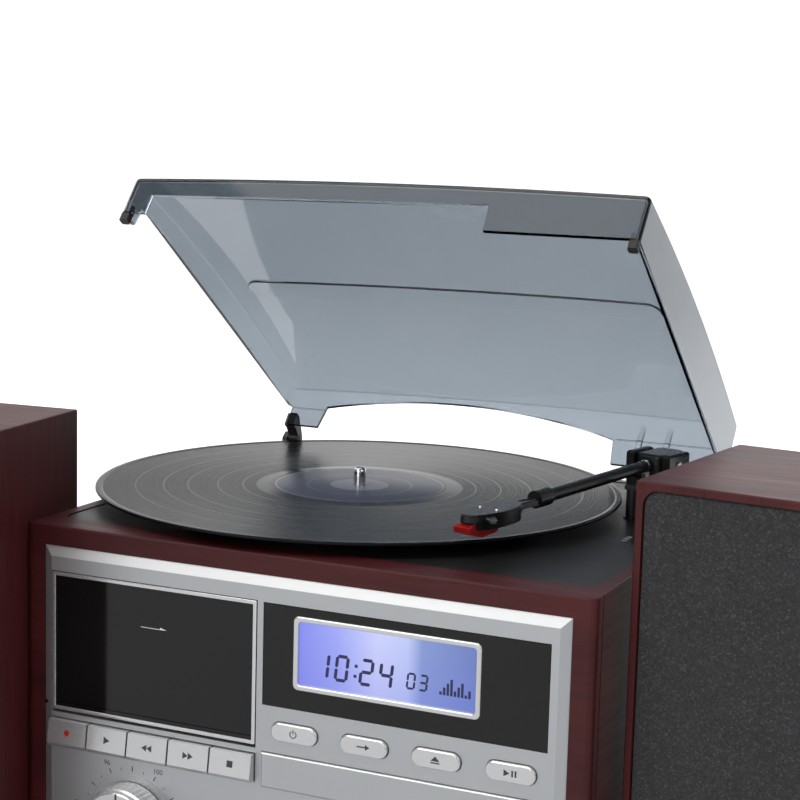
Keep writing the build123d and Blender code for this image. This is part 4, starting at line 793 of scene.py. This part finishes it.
for sgn in (1, -1):
    lathe("yoke_screw_%s" % ("right" if sgn > 0 else "left"), [(0, 0), (2.3, 0), (2.3, 0.7), (1.9, 1.1), (0.5, 1.15), (0.45, 0.6), (0, 0.6)],
          armp(0, 14.5 * sgn, 229.0), "steel", "yoke", n=32, axis=PERP * sgn, closed=False)
for dlat in (5.2, -5.2):
    lathe("shell_screw_%s" % ("right" if dlat > 0 else "left"), [(0, 0), (1.25, 0), (1.25, 0.5), (0.95, 0.8), (0.3, 0.82), (0.3, 0.4), (0, 0.4)],
          armp(168, dlat, 226.4), "chrome", "tonearm", n=28, closed=False)
lathe("arm_ring", [(3.5, 0), (3.72, 0.2), (3.72, 2.2), (3.5, 2.4)], armp(12, 0, 228.62), "chrome", "tonearm", n=48, axis=(U.x, U.y, -0.03), closed=False)

# stylus cantilever
lathe("stylus_tip", [(0, 0), (0.18, 0.5), (0.34, 1.2), (0.34, 2.0), (0, 2.0)], armp(178.5, 0, 213.36), "steel", "tonearm", n=16, closed=False)

# headphone socket: black collar and plated throat
lathe("headphone_collar", [(1.9, 0.02), (4.7, 0.02), (4.7, 0.3), (4.3, 0.7), (2.5, 0.7), (1.9, 0.4)], cab(0.0, -146.1, 34.0), "black_satin", "cabinet", n=48, axis=(0, -1, 0))
lathe("headphone_throat", [(1.5, -9.0), (1.78, -9.0), (1.78, 0.1), (1.5, 0.1)], cab(0.0, -146.1, 34.0), "steel", "cabinet", n=40, axis=(0, -1, 0))

# =====================================================================================
# sockets at the back
# =====================================================================================
for i, (dx, dz) in enumerate(((-14, 7), (14, 7), (-14, -7), (14, -7))):
    m_ = "red_gloss" if dx > 0 else "white"
    c = cab(-dx, 146.5, 48.5 + dz)
    lathe("socket_ring_%d" % i, [(4.4, 0.05), (6.2, 0.05), (6.2, 1.2), (5.8, 1.6), (4.4, 1.6)], c, m_, "cabinet", n=40, axis=(0, 1, 0))
    lathe("socket_shell_%d" % i, [(4.16, 0.1), (4.3, 0.1), (4.3, 7.6), (4.16, 8.02)], c, "chrome", "cabinet", n=40, axis=(0, 1, 0))
for i in range(4):
    xc = 90.0 + (i - 1.5) * -15
    prism("clip_lever_%d" % i, rounded_rect(8.4, 7.4, 1.2, 4), cab(xc, 153.02, 52.5), -X, Z, 0.5, "red_gloss" if i % 2 == 0 else "black", "cabinet", bevel=0.25)

# =====================================================================================
# stage, light, camera
# =====================================================================================
def stage_mesh():
    bm = bmesh.new()
    prof = [(-6.0, 0.0), (3.2, 0.0)]
    for k in range(1, 17):
        a = pi / 2 * k / 16
        prof.append((3.2 + 1.6 * sin(a), 1.6 - 1.6 * cos(a)))
    prof.append((4.8, 6.0))
    xs = (-9.0, 9.0)
    cols = [[bm.verts.new((x, y, z)) for y, z in prof] for x in xs]
    for i in range(len(prof) - 1):
        bm.faces.new((cols[0][i], cols[1][i], cols[1][i + 1], cols[0][i + 1]))
    me = bpy.data.meshes.new("studio_floor")
    bm.to_mesh(me)
    bm.free()
    for p in me.polygons:
        p.use_smooth = True
    o = bpy.data.objects.new("studio_floor", me)
    SC.collection.objects.link(o)
    m = Mat("floor_paint")
    nn = m.noise(m.obj, 3.0, 3, 0.5)
    m.put(color=m.mix(nn, (0.90, 0.90, 0.905), (0.92, 0.92, 0.92)), rough=0.7, spec=0.2)
    me.materials.append(m.m)
    return o


stage_mesh()


def area(name, loc, target, size, power, color=(1, 1, 1), size_y=None):
    l = bpy.data.lights.new(name, "AREA")
    l.energy = power
    l.color = color
    l.shape = "RECTANGLE"
    l.size = size
    l.size_y = size_y or size
    o = bpy.data.objects.new(name, l)
    SC.collection.objects.link(o)
    o.location = loc
    o.rotation_euler = (Vector(target) - Vector(loc)).to_track_quat("-Z", "Y").to_euler()
    return o


area("key_soft", (-1.5, -2.1, 2.4), (0, 0, 0.2), 1.6, 18)
area("top_soft", (-0.1, -0.1, 2.6), (0, 0.0, 0.2), 2.5, 36)
area("fill_right", (2.4, -1.0, 1.3), (0, 0, 0.2), 1.4, 7)
area("front_card", (-0.5, -3.0, 0.8), (0, 0, 0.25), 2.0, 20, size_y=0.9)
area("back_wash", (0.0, 1.6, 2.6), (0, 4.4, 1.0), 3.2, 105)
area("back_wash_left", (-3.0, 0.6, 2.4), (-2.2, 4.4, 1.3), 2.4, 100)

w = bpy.data.worlds.new("studio")
SC.world = w
w.use_nodes = True
bg = w.node_tree.nodes["Background"]
bg.inputs["Color"].default_value = (1.0, 1.0, 1.0, 1)
bg.inputs["Strength"].default_value = 0.25

SC.view_settings.view_transform = "Standard"
SC.view_settings.look = "None"
SC.view_settings.exposure = 0.0

yaw, pitch, roll = 0.425831, 0.150215, 0.026960
fw = Vector((-sin(yaw) * cos(pitch), cos(yaw) * cos(pitch), -sin(pitch)))
rt = Vector((cos(yaw), sin(yaw), 0))
up = rt.cross(fw)
r2 = rt * cos(roll) + up * sin(roll)
u2 = up * cos(roll) - rt * sin(roll)
cam_d = bpy.data.cameras.new("camera")
cam_d.sensor_width = 36.0
cam_d.sensor_height = 36.0
cam_d.lens = 1900.06 * 36.0 / 800.0
cam_d.clip_start = 0.05
cam_d.clip_end = 50.0
cam_d.dof.use_dof = False
cam = bpy.data.objects.new("camera", cam_d)
SC.collection.objects.link(cam)
rot = Matrix((r2, u2, -fw)).transposed().to_4x4()
cam.matrix_world = Matrix.Translation(Vector(cab(428.837, -964.747, 426.055))) @ rot
SC.camera = cam
